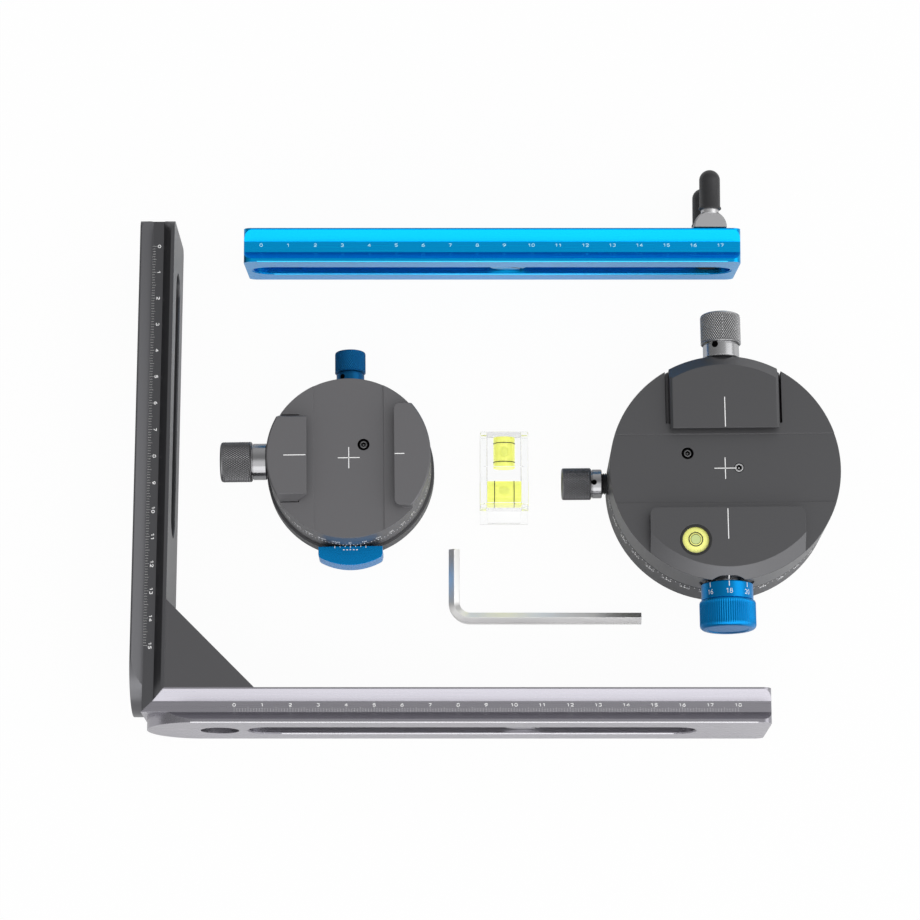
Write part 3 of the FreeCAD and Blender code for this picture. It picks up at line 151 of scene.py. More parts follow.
# ---- clamps ----------------------------------------------------
# The decks are milled with a fixed jaw; the loose jaws slide on two steel pins against springs. All are
# anodised like the bases, the small rotator a shade lighter.
deck_finish = anodised("deck_anodised", (0.118, 0.118, 0.123), 0.38, 0.82)
small_deck_finish = anodised("small_deck_anodised", (0.160, 0.158, 0.165), 0.50, 0.65)
dress(deck_finish, "clamp_body", "large_jaw")
dress(small_deck_finish, "small_deck", "small_jaw")
dress(steel_finish, "guide_pins", "small_guide_pins", "jaw_springs", "small_jaw_springs", "clamp_screw",
      "small_clamp_screw")

# ---- deck marks ------------------------------------------------
# White crosses show the turning centres and white lines the middle of each jaw. They are fine engraved
# strokes filled with ink, laid here as ribbons 0.02 mm above the metal.
mm = 0.001
ink_lift = 0.02
cross_half = 4.0
line_width = 0.3
sharp_turn = 0.8                # cosine of the turn at which a stroke is cut
tiny = 1e-12
large_floor, large_jaw_top = 36.6, 42.0
small_floor, small_jaw_top = 32.6, 38.0
white_ink = soft_solid("scale_white", (0.90, 0.90, 0.90), 0.60)
joints = {joint["name"]: joint for joint in frame["record"]["behaviour"]["joints"]}


def add_piece(name, points, faces, finish, body, stands_for=(), sharp=35):
    """Mesh object from numpy points in metres, set in place and riding on a body."""
    mesh = bpy.data.meshes.new(name)
    mesh.from_pydata(points.tolist(), [], faces)
    mesh.materials.append(finish)
    mesh.polygons.foreach_set("use_smooth", [True] * len(mesh.polygons))
    mesh.set_sharp_from_angle(angle=math.radians(sharp))
    mesh.update()
    piece = bpy.data.objects.new(name, mesh)
    bpy.context.scene.collection.objects.link(piece)
    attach(piece, body)
    if stands_for:
        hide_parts(*stands_for)
    return piece


def box_mm(node):
    """Lowest and highest corner of a CAD node, in millimetres."""
    return [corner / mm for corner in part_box(node)]


def full_turn(steps):
    """Angles of even steps once round."""
    return np.linspace(0, 2 * math.pi, steps, endpoint=False)


def line(*points):
    """Straight strokes through points."""
    return np.array(points, dtype=float)


def ribbon(stroke, width):
    """Left and right edges of a stroke: each point moved half the width along the stroke's normal."""
    ahead = np.gradient(stroke, axis=0)
    ahead /= np.linalg.norm(ahead, axis=1)[:, None] + tiny
    side = np.stack([-ahead[:, 1], ahead[:, 0]], axis=1) * width / 2
    return stroke + side, stroke - side


def split_corners(stroke):
    """Cut a stroke where it turns sharply, so that its ribbon keeps its width."""
    steps = np.diff(stroke, axis=0)
    steps /= np.linalg.norm(steps, axis=1)[:, None] + tiny
    corners = np.flatnonzero(np.sum(steps[1:] * steps[:-1], axis=1) < sharp_turn) + 1
    bounds = [0, *corners, len(stroke) - 1]
    return [stroke[low:high + 1] for low, high in zip(bounds, bounds[1:])]


def ink(name, marks, lay, body, finish=white_ink):
    """One mesh of ribbons: marks holds strokes with widths, and lay takes flat points to the row frame."""
    points, faces, base = [], [], 0
    for stroke, width in marks:
        for piece in split_corners(stroke):
            count = len(piece)
            points += ribbon(piece, width)
            faces += [(i, count + i, count + i + 1, i + 1) for i in range(base, base + count - 1)]
            base += 2 * count
    return add_piece(name, lay(np.vstack(points)) * mm, faces, finish, body, sharp=180)


def plane_lay(origin, across, up):
    """Flat layout: u along across and v along up from the origin, lifted along their cross product."""
    across, up = np.array(across, dtype=float), np.array(up, dtype=float)

    def lay(points):
        lifted = np.array(origin) + np.cross(across, up) * ink_lift
        return lifted + points[:, :1] * across + points[:, 1:] * up
    return lay


def axis_of(joint):
    """Point and direction of a joint's axis, the point in millimetres."""
    return np.array(joints[joint]["pos_m"]) / mm, np.array(joints[joint]["axis"])


def deck_lay(centre, jaw_axis, height):
    """Plane layout of a rotator: v runs along its jaw's way from the turning centre."""
    up = np.array(jaw_axis, dtype=float)
    return plane_lay((centre[0], centre[1], height), np.cross(up, (0, 0, 1)), up)


large_centre = axis_of("pan")[0]
small_centre = axis_of("small_pan")[0]
large_way = axis_of("large_clamp_turn")[1]
small_way = axis_of("small_clamp_turn")[1]
cross = [(line((-cross_half, 0), (cross_half, 0)), line_width),
         (line((0, -cross_half), (0, cross_half)), line_width)]
ink("large_cross", cross, deck_lay(large_centre, large_way, large_floor), "pan_deck")
ink("small_cross", cross, deck_lay(small_centre, small_way, small_floor), "small_deck")
for name, start, end, centre, way, height, body in (
        ("large_jaw_line", 14.2, 25.4, large_centre, large_way, large_jaw_top, "large_jaw"),
        ("large_fixed_line", -16.2, -27.4, large_centre, large_way, large_jaw_top, "pan_deck"),
        ("small_jaw_line", 15.5, 23.6, small_centre, small_way, small_jaw_top, "small_jaw"),
        ("small_fixed_line", -16.9, -20.4, small_centre, small_way, small_jaw_top, "small_deck")):
    ink(name, [(line((0, start), (0, end)), line_width)], deck_lay(centre, way, height), body)

# ---- degree scales ---------------------------------------------
# A scale of degrees runs round the large base's wall and round the small deck's skirt, engraved and
# filled white. The numbers are single-line engraver's digits.
digit_gap = 0.14                # share of the height between two digits
digit_width = 0.62              # share of the height that a digit below takes up
degree_digit_width, degree_stroke = 0.58, 0.18  # shares of the height
degree_tick_width, long_tick = 0.26, 1.6        # a numbered tick's length over a plain one's
ticks_around, ticks_to_number = 144, 4


def arc(x, y, rx, ry, start, end, steps=14):
    """Points along part of an ellipse, angles in degrees."""
    angles = np.radians(np.linspace(start, end, steps))
    return np.stack([x + rx * np.cos(angles), y + ry * np.sin(angles)], axis=1)


digit_strokes = {
    "0": [arc(0.31, 0.5, 0.26, 0.46, 0, 360, 25)],
    "1": [line((0.12, 0.76), (0.36, 0.96), (0.36, 0.04))],
    "2": [np.vstack([arc(0.31, 0.70, 0.25, 0.26, 165, -35), line((0.05, 0.04), (0.58, 0.04))])],
    "3": [arc(0.29, 0.73, 0.23, 0.23, 150, -90), arc(0.29, 0.27, 0.26, 0.23, 90, -150)],
    "4": [line((0.44, 0.04), (0.44, 0.96), (0.04, 0.30), (0.60, 0.30))],
    "5": [np.vstack([line((0.54, 0.96), (0.13, 0.96), (0.08, 0.55)),
                     arc(0.29, 0.32, 0.26, 0.28, 120, -150)])],
    "6": [arc(0.31, 0.30, 0.25, 0.26, 0, 360, 21), arc(0.62, 0.34, 0.56, 0.62, 175, 105)],
    "7": [line((0.05, 0.96), (0.57, 0.96), (0.22, 0.04))],
    "8": [arc(0.31, 0.73, 0.21, 0.22, 0, 360, 19), arc(0.31, 0.28, 0.26, 0.24, 0, 360, 21)],
    "9": [arc(0.31, 0.70, 0.25, 0.26, 0, 360, 21), arc(0.00, 0.66, 0.56, 0.62, -5, -75)],
}


def number(text, x, y, height, width, stroke_width):
    """Marks of a number centred at x, y: each digit's strokes scaled to the height and set side by side. The
    width is a digit's share of the height."""
    total = len(text) * width + (len(text) - 1) * digit_gap
    marks = []
    for place, digit in enumerate(text):
        shift = np.array([place * (width + digit_gap) - total / 2, -0.5])
        marks += [((stroke * (width / digit_width, 1) + shift) * height + (x, y), stroke_width)
                  for stroke in digit_strokes[digit]]
    return marks


def drum_lay(centre, radius):
    """Layout on an upright drum: u is the length of arc round it from +X, v the height."""
    def lay(points):
        angle = points[:, 0] / radius
        out = radius + ink_lift
        x, y = centre[0] + out * np.cos(angle), centre[1] + out * np.sin(angle)
        return np.stack([x, y, points[:, 1]], axis=1)
    return lay


def degree_ticks(radius, foot, length, start):
    """Ticks every two and a half degrees all round a drum, every tenth degree longer."""
    marks = []
    for step in range(ticks_around):
        u = math.radians(start + step * 360 / ticks_around) * radius
        tip = foot + length * (1.0 if step % ticks_to_number else long_tick)
        marks.append((line((u, foot), (u, tip)), degree_tick_width))
    return marks


def degree_numbers(radius, height, size, start, degrees):
    """Numbers of some degrees round a drum, each centred on its tick."""
    marks = []
    for degree in degrees:
        marks += number(str(degree), math.radians(start + degree) * radius, height, size, degree_digit_width,
                        size * degree_stroke)
    return marks


large_drum, large_foot, large_tick = 42.0, 18.4, -1.4
small_drum, small_foot, small_tick = 30.0, 20.5, 1.1
large_row, large_size = 14.4, 2.0
small_row, small_size = 24.25, 1.55
numbered = range(0, 360, 10)
jaw_degrees = range(240, 301, 10)               # these numbers lie on the wall of the loose jaw
large_zero = math.degrees(math.atan2(-large_way[1], -large_way[0]))
small_zero = math.degrees(math.atan2(small_way[0], -small_way[1]))
large_wall, small_wall = drum_lay(large_centre, large_drum), drum_lay(small_centre, small_drum)
small_shape = (small_drum, small_row, small_size, small_zero)
ink("large_degree_scale", degree_ticks(large_drum, large_foot, large_tick, large_zero)
    + degree_numbers(large_drum, large_row, large_size, large_zero, numbered), large_wall, "pan_base")
ink("small_degree_scale", degree_ticks(small_drum, small_foot, small_tick, small_zero)
    + degree_numbers(*small_shape, set(numbered) - set(jaw_degrees)), small_wall, "small_deck")
ink("small_jaw_numbers", degree_numbers(*small_shape, jaw_degrees), small_wall, "small_jaw")

# ---- screws in the channels ------------------------------------
# A black screw in each channel stops a plate from sliding out, and a bright screw on the large deck's
# centre line holds the spindle. Each has a hexagon socket.

# Painted shade: a near-black finish without specular, laid in the screws' sockets, in the gaps round their
# heads and in the knobs' drilled holes.
painted_hole_shade = soft_solid("painted_hole_shade", (0.002, 0.002, 0.002), 0.9)
inputs_of(painted_hole_shade)["Specular IOR Level"].default_value = 0.0
dark_rim_finish = turned_metal("black_screw_rim", (0.16, 0.16, 0.165), 0.30)
socket_share, socket_depth, socket_chamfer = 0.56, 0.9, 0.1     # flats over head, and millimetres
head_chamfer, gap_depth, bright_spot = 0.15, 0.4, 0.35
round_sides = 48


def rings_to_faces(rings, around):
    """Quads between rings of points, with one face over each end."""
    first = np.arange(rings - 1)[:, None] * around + np.arange(around)[None, :]
    after = np.roll(np.arange(around), -1)[None, :] + np.arange(rings - 1)[:, None] * around
    quads = np.stack([first, after, after + around, first + around], axis=-1).reshape(-1, 4)
    ends = [tuple(range(around))[::-1], tuple(range((rings - 1) * around, rings * around))]
    return [tuple(quad) for quad in quads.tolist()] + ends


def repaint(piece, finish, first, last):
    """Give a run of a piece's faces another finish."""
    mesh = piece.data
    slots = np.zeros(len(mesh.polygons), dtype=np.int32)
    mesh.polygons.foreach_get("material_index", slots)
    slots[first:last] = len(mesh.materials)
    mesh.materials.append(finish)
    mesh.polygons.foreach_set("material_index", slots)


def placed(points, place):
    """Points carried by a 4x4 matrix."""
    return points @ place[:3, :3].T + place[:3, 3]


def socket_head(node, head_share, finish, body):
    """Screw sunk in its hole, in the place of its CAD node: rings of radius r from the foot over a gap
    painted in shade to the round head, where r is cut to six flats, down the socket, painted in shade,
    to a bright spot in its floor."""
    low, high = box_mm(node)
    outer = (high.x - low.x) / 2
    head = outer * head_share
    angle = full_turn(round_sides)
    flats = head * socket_share / np.cos((angle + math.pi / 6) % (math.pi / 3) - math.pi / 6)
    rings = [(outer, low.z - high.z), (outer, -gap_depth), (head, -gap_depth), (head, -head_chamfer),
             (head - head_chamfer, 0.0), (flats + socket_chamfer, 0.0), (flats, -socket_chamfer),
             (flats, -socket_depth), (bright_spot, -socket_depth)]
    points = [np.stack([r * np.cos(angle), r * np.sin(angle), 0 * angle + z], axis=1) for r, z in rings]
    place = np.eye(4) * mm
    place[:3, 3] = np.array(((low.x + high.x) / 2, (low.y + high.y) / 2, high.z)) * mm
    screw = add_piece(node + "_socket", placed(np.vstack(points), place),
                      rings_to_faces(len(rings), round_sides), finish, body, [node], sharp=20)
    for first, last in ((1, 3), (6, 8)):        # painted shade on the gap's rows of faces, then on the socket's
        repaint(screw, painted_hole_shade, first * round_sides, last * round_sides)


socket_head("stop_screw", 0.62, dark_rim_finish, "pan_deck")
socket_head("small_stop_screw", 0.62, dark_rim_finish, "small_deck")
socket_head("centre_screw", 0.90, steel_finish, "pan_deck")

# ---- clamp knobs -----------------------------------------------
# Turned aluminium knobs with a bright plain collar and a diamond-knurled grip, screwed on the steel clamp
# screws. The large clamp's knob is anodised light grey, the small one's dark grey.
KnobShape = namedtuple("KnobShape", "grip_radius collar_radius collar_length teeth depth chamfer")
clamp_shape = KnobShape(7.4, 6.65, 5.4, 54, 0.34, 1.1)
knurl_slant = 1.45              # length of a diamond over its width
knurl_crest = 1.15              # above 1 the crests are cut flat
steps_per_cut = 8
# Painted shade in the knurl's hollows and painted highlight on its crests, as shares of the finish's colour.
valley_width, valley_shade, crest_highlight = 0.06, 0.12, 1.9
core = 0.3                      # radius at which a turned profile closes
knob_chamfer, undercut, undercut_taper = 0.3, 0.45, 0.05
grip_bevel, grip_lead = 0.45, 0.4
face_rim, face_slope, face_dish = 0.8, 0.2, 0.3
cut_fade = 0.35                 # length over which a cut reaches its depth
clamp_knob_finish = anodised("clamp_knob_anodised", (0.26, 0.26, 0.265), 0.24, 0.95)
small_clamp_knob_finish = anodised("small_clamp_knob_anodised", (0.145, 0.145, 0.15), 0.24, 0.95)
clamp_collar_finish = turned_metal("clamp_collar_turned", (0.50, 0.50, 0.51), 0.20)
small_collar_finish = turned_metal("small_collar_turned", (0.34, 0.34, 0.35), 0.17)


def shaded_valleys(finish):
    """Painted shade in the mesh's hollows and a painted highlight on its crests: the finish's colour darkened
    and lightened by pointiness.
    """
    tree, inputs = finish.node_tree, inputs_of(finish)
    color = np.array(inputs["Base Color"].default_value[:3])
    geometry = add_node(tree, "NewGeometry", {}, {})
    ramp = add_node(tree, "ValToRGB", {}, {"Fac": geometry.outputs["Pointiness"]})
    ramp.color_ramp.elements[0].position = 0.5 - valley_width
    ramp.color_ramp.elements[0].color = (*(color * valley_shade), 1)
    ramp.color_ramp.elements[1].position = 0.5 + valley_width
    ramp.color_ramp.elements[1].color = (*np.minimum(color * crest_highlight, 1), 1)
    tree.links.new(ramp.outputs["Color"], inputs["Base Color"])


shaded_valleys(clamp_knob_finish)
shaded_valleys(small_clamp_knob_finish)


def outward_frame(centre, joint, way=1):
    """Matrix from (sideways, up, outward) in millimetres to metres: outward along a joint's axis, from a
    rotator's turning axis at the height of the joint."""
    point, axis = axis_of(joint)
    outward = axis * way
    up = np.array([0.0, 0.0, 1.0])
    place = np.eye(4)
    place[:3, :3] = np.stack([np.cross(up, outward), up, outward], axis=1) * mm
    place[:3, 3] = np.array([centre[0], centre[1], point[2]]) * mm
    return place


def span_along(node, place):
    """Nearest and farthest point of a CAD node along the outward axis of a placement, in millimetres."""
    mesh = frame["nodes"][node].data
    points = np.empty(len(mesh.vertices) * 3)
    mesh.vertices.foreach_get("co", points)
    along = (points.reshape(-1, 3) - place[:3, 3]) @ place[:3, 2] / mm ** 2
    return along.min(), along.max()


def triangle_wave(value):
    """0 at whole numbers and 1 half way between them."""
    return 1.0 - np.abs(2.0 * (value % 1.0) - 1.0)


def crossed_knurl(teeth, pitch, depth):
    """Diamond knurl: the radius falls in two families of helical V grooves, and the deeper groove counts."""
    def cut(angle, along):
        turn = angle * teeth / (2 * math.pi)
        right = triangle_wave(turn + along / pitch)
        left = triangle_wave(turn - along / pitch)
        return depth * (1.0 - np.minimum(1.0, knurl_crest * np.minimum(right, left)))
    return cut


def turned_piece(name, profile, around, place, finish, body, stands_for=(), grip=None, cut=None):
    """Solid of revolution about the outward axis: the profile's radius, less the depth of the cut between the
    ends of the grip, at every angle."""
    profile = np.array(profile)
    angle = full_turn(around)[None, :]
    radius = np.repeat(profile[:, :1], around, axis=1)
    along = np.repeat(profile[:, 1:], around, axis=1)
    if cut is not None:
        inside = np.clip(np.minimum(along - grip[0], grip[1] - along) / cut_fade, 0, 1)
        radius = radius - inside * cut(angle, along - grip[0])
    points = np.stack([radius * np.cos(angle), radius * np.sin(angle), along], axis=-1).reshape(-1, 3)
    faces = rings_to_faces(len(profile), around)
    return add_piece(name, placed(points, place), faces, finish, body, stands_for)


def knurled_knob(node, place, shape, finishes, body):
    """Knob with a collar and a diamond-knurled grip, in the place of its CAD node: rows of the profile follow
    the grip at an eighth of a diamond, its inner end is chamfered and its outer end is a quarter round."""
    grip_radius, collar_radius, collar_length, teeth, depth, chamfer = shape
    start, end = span_along(node, place)
    neck = start + collar_length
    pitch = knurl_slant * 2 * math.pi * grip_radius / teeth
    around = teeth * steps_per_cut
    waist, face = collar_radius - knob_chamfer, grip_radius - chamfer - face_rim
    collar = [(core, start), (waist, start), (collar_radius, start + knob_chamfer),
              (collar_radius, neck - undercut - undercut_taper), (waist, neck - undercut), (waist, neck)]
    rows = np.arange(neck + grip_bevel, end - chamfer, pitch / steps_per_cut)
    turn = np.radians(np.linspace(0, 90, 6))
    profile = collar + [(grip_radius - grip_bevel, neck), (grip_radius, neck + grip_lead)]
    profile += [(grip_radius, row) for row in rows]
    profile += [(grip_radius - chamfer * (1 - math.cos(a)), end - chamfer * (1 - math.sin(a))) for a in turn]
    profile += [(face, end), (face - face_slope, end - face_dish), (core, end - face_dish)]
    knob = turned_piece(node + "_grip", profile, around, place, finishes[0], body, [node],
                        (neck + grip_lead, end - grip_lead * chamfer), crossed_knurl(teeth, pitch, depth))
    repaint(knob, finishes[1], 0, (len(collar) - 1) * around)
    return neck


clamp_place = outward_frame(large_centre, "large_clamp_turn")
small_clamp_place = outward_frame(small_centre, "small_clamp_turn")
clamp_neck = knurled_knob("clamp_knob", clamp_place, clamp_shape, (clamp_knob_finish, clamp_collar_finish),
                          "large_clamp_knob")
knurled_knob("small_clamp_knob", small_clamp_place, clamp_shape,
             (small_clamp_knob_finish, small_collar_finish), "small_clamp_knob")

# ---- lock knobs ------------------------------------------------
# Slimmer knurled knobs turn the brakes: dark grey on the large rotator, blue on the small one. Each sits
# on a black screw whose rolled thread shows between the base and the collar.
lock_shape = KnobShape(5.95, 5.35, 3.9, 44, 0.30, 0.8)
small_lock_shape = KnobShape(5.75, 5.2, 4.5, 44, 0.26, 0.8)
lock_thread_radius, small_lock_thread_radius, thread_pitch = 3.95, 2.5, 0.8
thread_depth, thread_crest = 0.55, 1.25         # share of the pitch; above 1 the crests are cut flat
lock_knob_finish = anodised("lock_knob_anodised", (0.115, 0.115, 0.12), 0.28, 0.94)
small_lock_finish = anodised("small_lock_anodised", (0.002, 0.105, 0.27), 0.36, 0.85)
shaded_valleys(lock_knob_finish)
lock_place = outward_frame(large_centre, "pan_lock_turn", -1)
small_lock_place = outward_frame(small_centre, "small_lock_turn", -1)
lock_neck = knurled_knob("lock_knob", lock_place, lock_shape, (lock_knob_finish, small_collar_finish),
                         "pan_lock_knob")
small_lock_neck = knurled_knob("small_lock_knob", small_lock_place, small_lock_shape,
                               (small_lock_finish, small_lock_finish), "small_lock_knob")


def thread_piece(name, node, radius, place, body):
    """Screw in the place of its CAD node: the radius falls in a V groove that runs round once a pitch."""
    start, end = span_along(node, place)
    rows = np.arange(start, end, thread_pitch / steps_per_cut)
    profile = [(core, start)] + [(radius, row) for row in rows] + [(core, rows[-1])]

    def cut(angle, along):
        wave = triangle_wave(along / thread_pitch - angle / (2 * math.pi))
        return thread_depth * thread_pitch * (1.0 - np.minimum(1.0, thread_crest * wave))
    turned_piece(name, profile, round_sides, place, black_steel_finish, body, [node], (start, rows[-1]), cut)


thread_piece("lock_screw_thread", "lock_screw", lock_thread_radius, lock_place, "pan_lock_knob")
thread_piece("small_lock_screw_thread", "small_lock_screw", small_lock_thread_radius, small_lock_place,
             "small_lock_knob")

# ---- set screws ------------------------------------------------
# A set screw in a drilled hole locks each knob to its screw. The hole is bored in the collar beside the
# grip; here it is a shallow cup painted in shade.

hole_sink, rim_lift, spot_lift = 0.6, 0.03, 0.04


def hole_spot(name, place, along, radius, angle, size, body):
    """Shallow cup painted in shade for a drilled hole, sunk to a collar's surface: rings about the radial
    line at an angle round the knob's axis, the rim bent to the collar's curve."""
    turn = math.radians(angle)
    out = np.array([math.cos(turn), math.sin(turn), 0])
    across = np.array([-math.sin(turn), math.cos(turn), 0])
    sides = 28
    steps = full_turn(sides)
    points = []
    for r, lift in ((size, -hole_sink), (size, rim_lift), (size * 0.9, spot_lift), (size * 0.5, spot_lift)):
        offset = r * np.cos(steps)
        rise = np.sqrt(radius ** 2 - offset ** 2) + lift
        ring = offset[:, None] * across + rise[:, None] * out
        ring[:, 2] = along + r * np.sin(steps)
        points.append(ring)
    add_piece(name, placed(np.vstack(points), place), rings_to_faces(4, sides), painted_hole_shade, body, sharp=20)


for name, place, along, radius, angle, size, body in (
        ("clamp_knob", clamp_place, clamp_neck - 1.1, clamp_shape.collar_radius, 66, 1.2, "large_clamp_knob"),
        ("lock_knob", lock_place, lock_neck - 1.0, lock_shape.collar_radius, 84, 1.0, "pan_lock_knob"),
        ("small_lock_knob", small_lock_place, small_lock_neck - 1.9, small_lock_shape.collar_radius, 57, 1.0,
         "small_lock_knob")):
    hole_spot(name + "_set_screw_hole_shade", place, along, radius, angle, size, body)

# ---- index knob ------------------------------------------------
# A large blue knob chooses the row of stops. Its collar carries a white number for each row under a white
# line on the jaw, and its grip has straight flutes between rounded rims.
index_bore, index_collar_radius, index_grip_radius = 4.1, 9.4, 10.2
index_collar_length, index_chamfer, index_dish = 6.2, 0.3, 0.25
neck_steps = ((0.6, 0.0), (0.2, 0.25), (0.0, 0.8))      # inwards from the grip, outwards from the neck
face_steps = ((0.0, 1.4), (0.2, 0.7), (0.7, 0.2), (1.2, 0.0), (2.6, 0.0), (2.8, 0.25))  # and from the face
row_start, row_end = 1.2, 1.6
index_flutes, flute_depth = 76, 0.22
flute_start, flute_end, flute_row = 0.8, 1.2, 0.8       # clear of the neck, clear of the face, between rows
index_counts = (18, 20, 24, 8, 10, 12, 15, 16)
index_tick_start, index_tick_end, index_tick_width = 0.4, 2.2, 0.26
index_row, index_size, index_digit_width, index_stroke = 3.9, 1.8, 0.60, 0.16
pointer_height, pointer_inset, pointer_slope = 38.5, 0.9, math.sqrt(0.5)
pointer_shift, pointer_start, pointer_end, pointer_width = 0.33, -0.9, 1.2, 0.32
blue_knob_finish = anodised("knob_blue_anodised", (0.001, 0.235, 0.60), 0.32, 0.90)
index_place = outward_frame(large_centre, "index_select")
index_start, index_end = span_along("index_knob", index_place)
index_neck = index_start + index_collar_length


def straight_flutes(angle, _):
    """Rounded grooves along the grip: the radius falls by a cosine wave round it."""
    return flute_depth * (0.5 + 0.5 * np.cos(angle * index_flutes))


collar_waist = index_collar_radius - index_chamfer
index_profile = [(index_bore, index_start), (collar_waist, index_start),
                 (index_collar_radius, index_start + index_chamfer),
                 (index_collar_radius, index_neck - index_chamfer), (collar_waist, index_neck)]
index_profile += [(index_grip_radius - inwards, index_neck + along) for inwards, along in neck_steps]
index_profile += [(index_grip_radius, row)
                  for row in np.arange(index_neck + row_start, index_end - row_end, flute_row)]
index_profile += [(index_grip_radius - inwards, index_end - along) for inwards, along in face_steps]
index_profile += [(core, index_end - index_dish)]
turned_piece("index_knob_grip", index_profile, index_flutes * steps_per_cut, index_place, blue_knob_finish,
             "index_selector", ["index_knob"], (index_neck + flute_start, index_end - flute_end),
             straight_flutes)


def collar_lay(place, radius):
    """Layout round a knob's collar: u is the length of arc sideways from its top, v runs inwards along it."""
    def lay(points):
        angle = math.pi / 2 - points[:, 0] / radius
        out = radius + ink_lift
        flat = np.stack([out * np.cos(angle), out * np.sin(angle), -points[:, 1]], axis=1)
        return placed(flat, place) / mm
    return lay


index_marks = []
for step, count in enumerate(index_counts):
    u = step * 2 * math.pi * index_collar_radius / len(index_counts)
    index_marks.append((line((u, -index_start - index_tick_start), (u, -index_start - index_tick_end)),
                        index_tick_width))
    index_marks += number(str(count), u, -index_start - index_row, index_size, index_digit_width,
                          index_stroke)
ink("index_numbers", index_marks, collar_lay(index_place, index_collar_radius), "index_selector")
ink("index_pointer", [(line((pointer_shift, pointer_start), (pointer_shift, pointer_end)), pointer_width)],
    plane_lay((0, pointer_inset - large_drum, pointer_height), (1, 0, 0), (0, pointer_slope, pointer_slope)),
    "pan_deck")

# ---- index block -----------------------------------------------
# A blue anodised block with rounded corners is screwed to the small base and carries the reading marks
# for the deck's scale.
block_radius, block_step, block_tick, block_long_tick, block_tick_width = 30.2, 1.9, 0.45, 0.8, 0.2
dash_radius, dash_half, dash_width, dash_places = 31.7, 0.3, 0.3, (-2.4, -1.2, 0.0, 1.2, 2.4)
index_block_finish = anodised("block_blue_anodised", (0.003, 0.27, 0.68), 0.28, 0.90, 0.000003)
dress(index_block_finish, "index_block")
dress(black_steel_finish, "index_block_screws")
block_top = box_mm("index_block")[1].z
block_marks = []
for step in range(-3, 4):
    x = step * block_step
    tip = block_radius + (block_tick if step % 3 else block_long_tick)
    block_marks.append((line((x, block_radius), (x, tip)), block_tick_width))
block_marks += [(line((x - dash_half, dash_radius), (x + dash_half, dash_radius)), dash_width)
                for x in dash_places]
ink("index_block_marks", block_marks,
    deck_lay(small_centre, np.cross(small_way, (0, 0, -1)), block_top), "small_base")

# ---- bull's-eye level ------------------------------------------
# A domed clear disc with a yellow-green spirit and a bubble under a black circle, pressed into a black
# cup in the fixed jaw.
spirit_scale, spirit_depth = 300.0, 0.000001
spirit_finish = soft_solid("level_spirit", (0.95, 0.96, 0.27), 0.12, spirit_scale, spirit_depth)
bubble_finish = soft_solid("level_bubble", (0.56, 0.66, 0.27), 0.10, spirit_scale, spirit_depth)
cup_finish = soft_solid("cup_black", (0.012, 0.012, 0.012), 0.40)
black_ink = soft_solid("vial_ink", (0.010, 0.010, 0.010), 0.60)
dress(cup_finish, "level_cup")
dress(spirit_finish, "level_vial")
vial_low, vial_high = box_mm("level_vial")
vial_centre = (vial_low + vial_high) / 2
circle_shift = 0.25             # how far the circle sits off the middle, under the dome


def flat_ring(name, outer, inner, height, finish):
    """Ring between two radii about the vial's middle, at a height."""
    sides = round_sides
    angle = full_turn(sides)
    points = [np.stack([vial_centre.x + r * np.cos(angle), vial_centre.y + circle_shift + r * np.sin(angle),
                        0 * angle + height], axis=1) for r in (outer, inner)]
    faces = [(i, (i + 1) % sides, sides + (i + 1) % sides, sides + i) for i in range(sides)]
    add_piece(name, np.vstack(points) * mm, faces, finish, "pan_deck", sharp=180)


for name, outer, inner, lift, finish in (("vial_circle", 2.65, 2.3, 0.02, black_ink),
                                         ("vial_bubble", 1.75, 0.02, 0.03, bubble_finish),
                                         ("vial_bubble_rim", 1.85, 1.7, 0.04, black_ink)):
    flat_ring(name, outer, inner, vial_high.z + lift, finish)

# ---- L-bracket -------------------------------------------------
# Two extruded and milled dovetail arms meet in a mitre, held by a gusset and two screws. The upright arm
# and the gusset are dark, the lower arm titanium grey; a centimetre scale is engraved along the groove of
# each.
arm_dark_finish = anodised("upright_anodised", (0.125, 0.125, 0.132), 0.30, 0.94, 0.000003, (1, 0.01, 1))
gusset_finish = anodised("gusset_anodised", (0.090, 0.089, 0.094), 0.50, 0.5)
arm_grey_finish = anodised("lower_arm_anodised", (0.355, 0.345, 0.38), 0.28, 0.95, 0.000003, (0.01, 1, 1))
dress(arm_dark_finish, "upright_arm")
dress(gusset_finish, "corner_gusset")
dress(arm_grey_finish, "lower_arm")
dress(steel_finish, "corner_screws", "bracket_screw")
dress(bronze_finish, "bracket_washer")
# Painted highlight: the beads that round the arm's edges are a lighter metal than the arm, for the light that
# the rounded edges catch.
arm_edge_highlight = turned_metal("arm_rim", (0.62, 0.61, 0.64), 0.26)
groove_edge = 4.2               # face of an arm to the groove's flat bottom
groove_depth = 3.0
rim_radius, rim_inset, rim_points = 0.36, 0.72, 9
recess_low = 11.2
arm_recess_start, arm_recess_end = 49.1, 33.4   # the recess's straight part, from the corner and the free end
mitre_clear, end_clear = 18.0, 5.0
tick_start, tick_minor, tick_major = 0.15, 1.2, 1.6
scale_digit, scale_digit_width = 1.12, 1.08
arm_tick_width, arm_stroke = 0.06, 0.24
lower_last, lower_row, lower_zero = 18, 2.6, -177.05
upright_last, upright_row, upright_zero = 15, 2.7, 84.9


def edge_bead(name, start, end, face, top, finish, body):
    """Round bead along an edge between two points: points at the radius from a line that lies inside by 0.72
    of the radius, turned from just below the face's normal to just past the top's."""
    start, end, face, top = (np.array(vector, dtype=float) for vector in (start, end, face, top))
    turn = np.radians(np.linspace(-20, 110, rim_points))[:, None]
    bead = rim_radius * (np.cos(turn) * face + np.sin(turn) * top - rim_inset * (face + top))
    faces = [(i, i + 1, rim_points + i + 1, rim_points + i) for i in range(rim_points - 1)]
    faces += [tuple(range(rim_points))[::-1], tuple(range(rim_points, 2 * rim_points))]
    add_piece(name, np.vstack([bead + start, bead + end]) * mm, faces, finish, body)


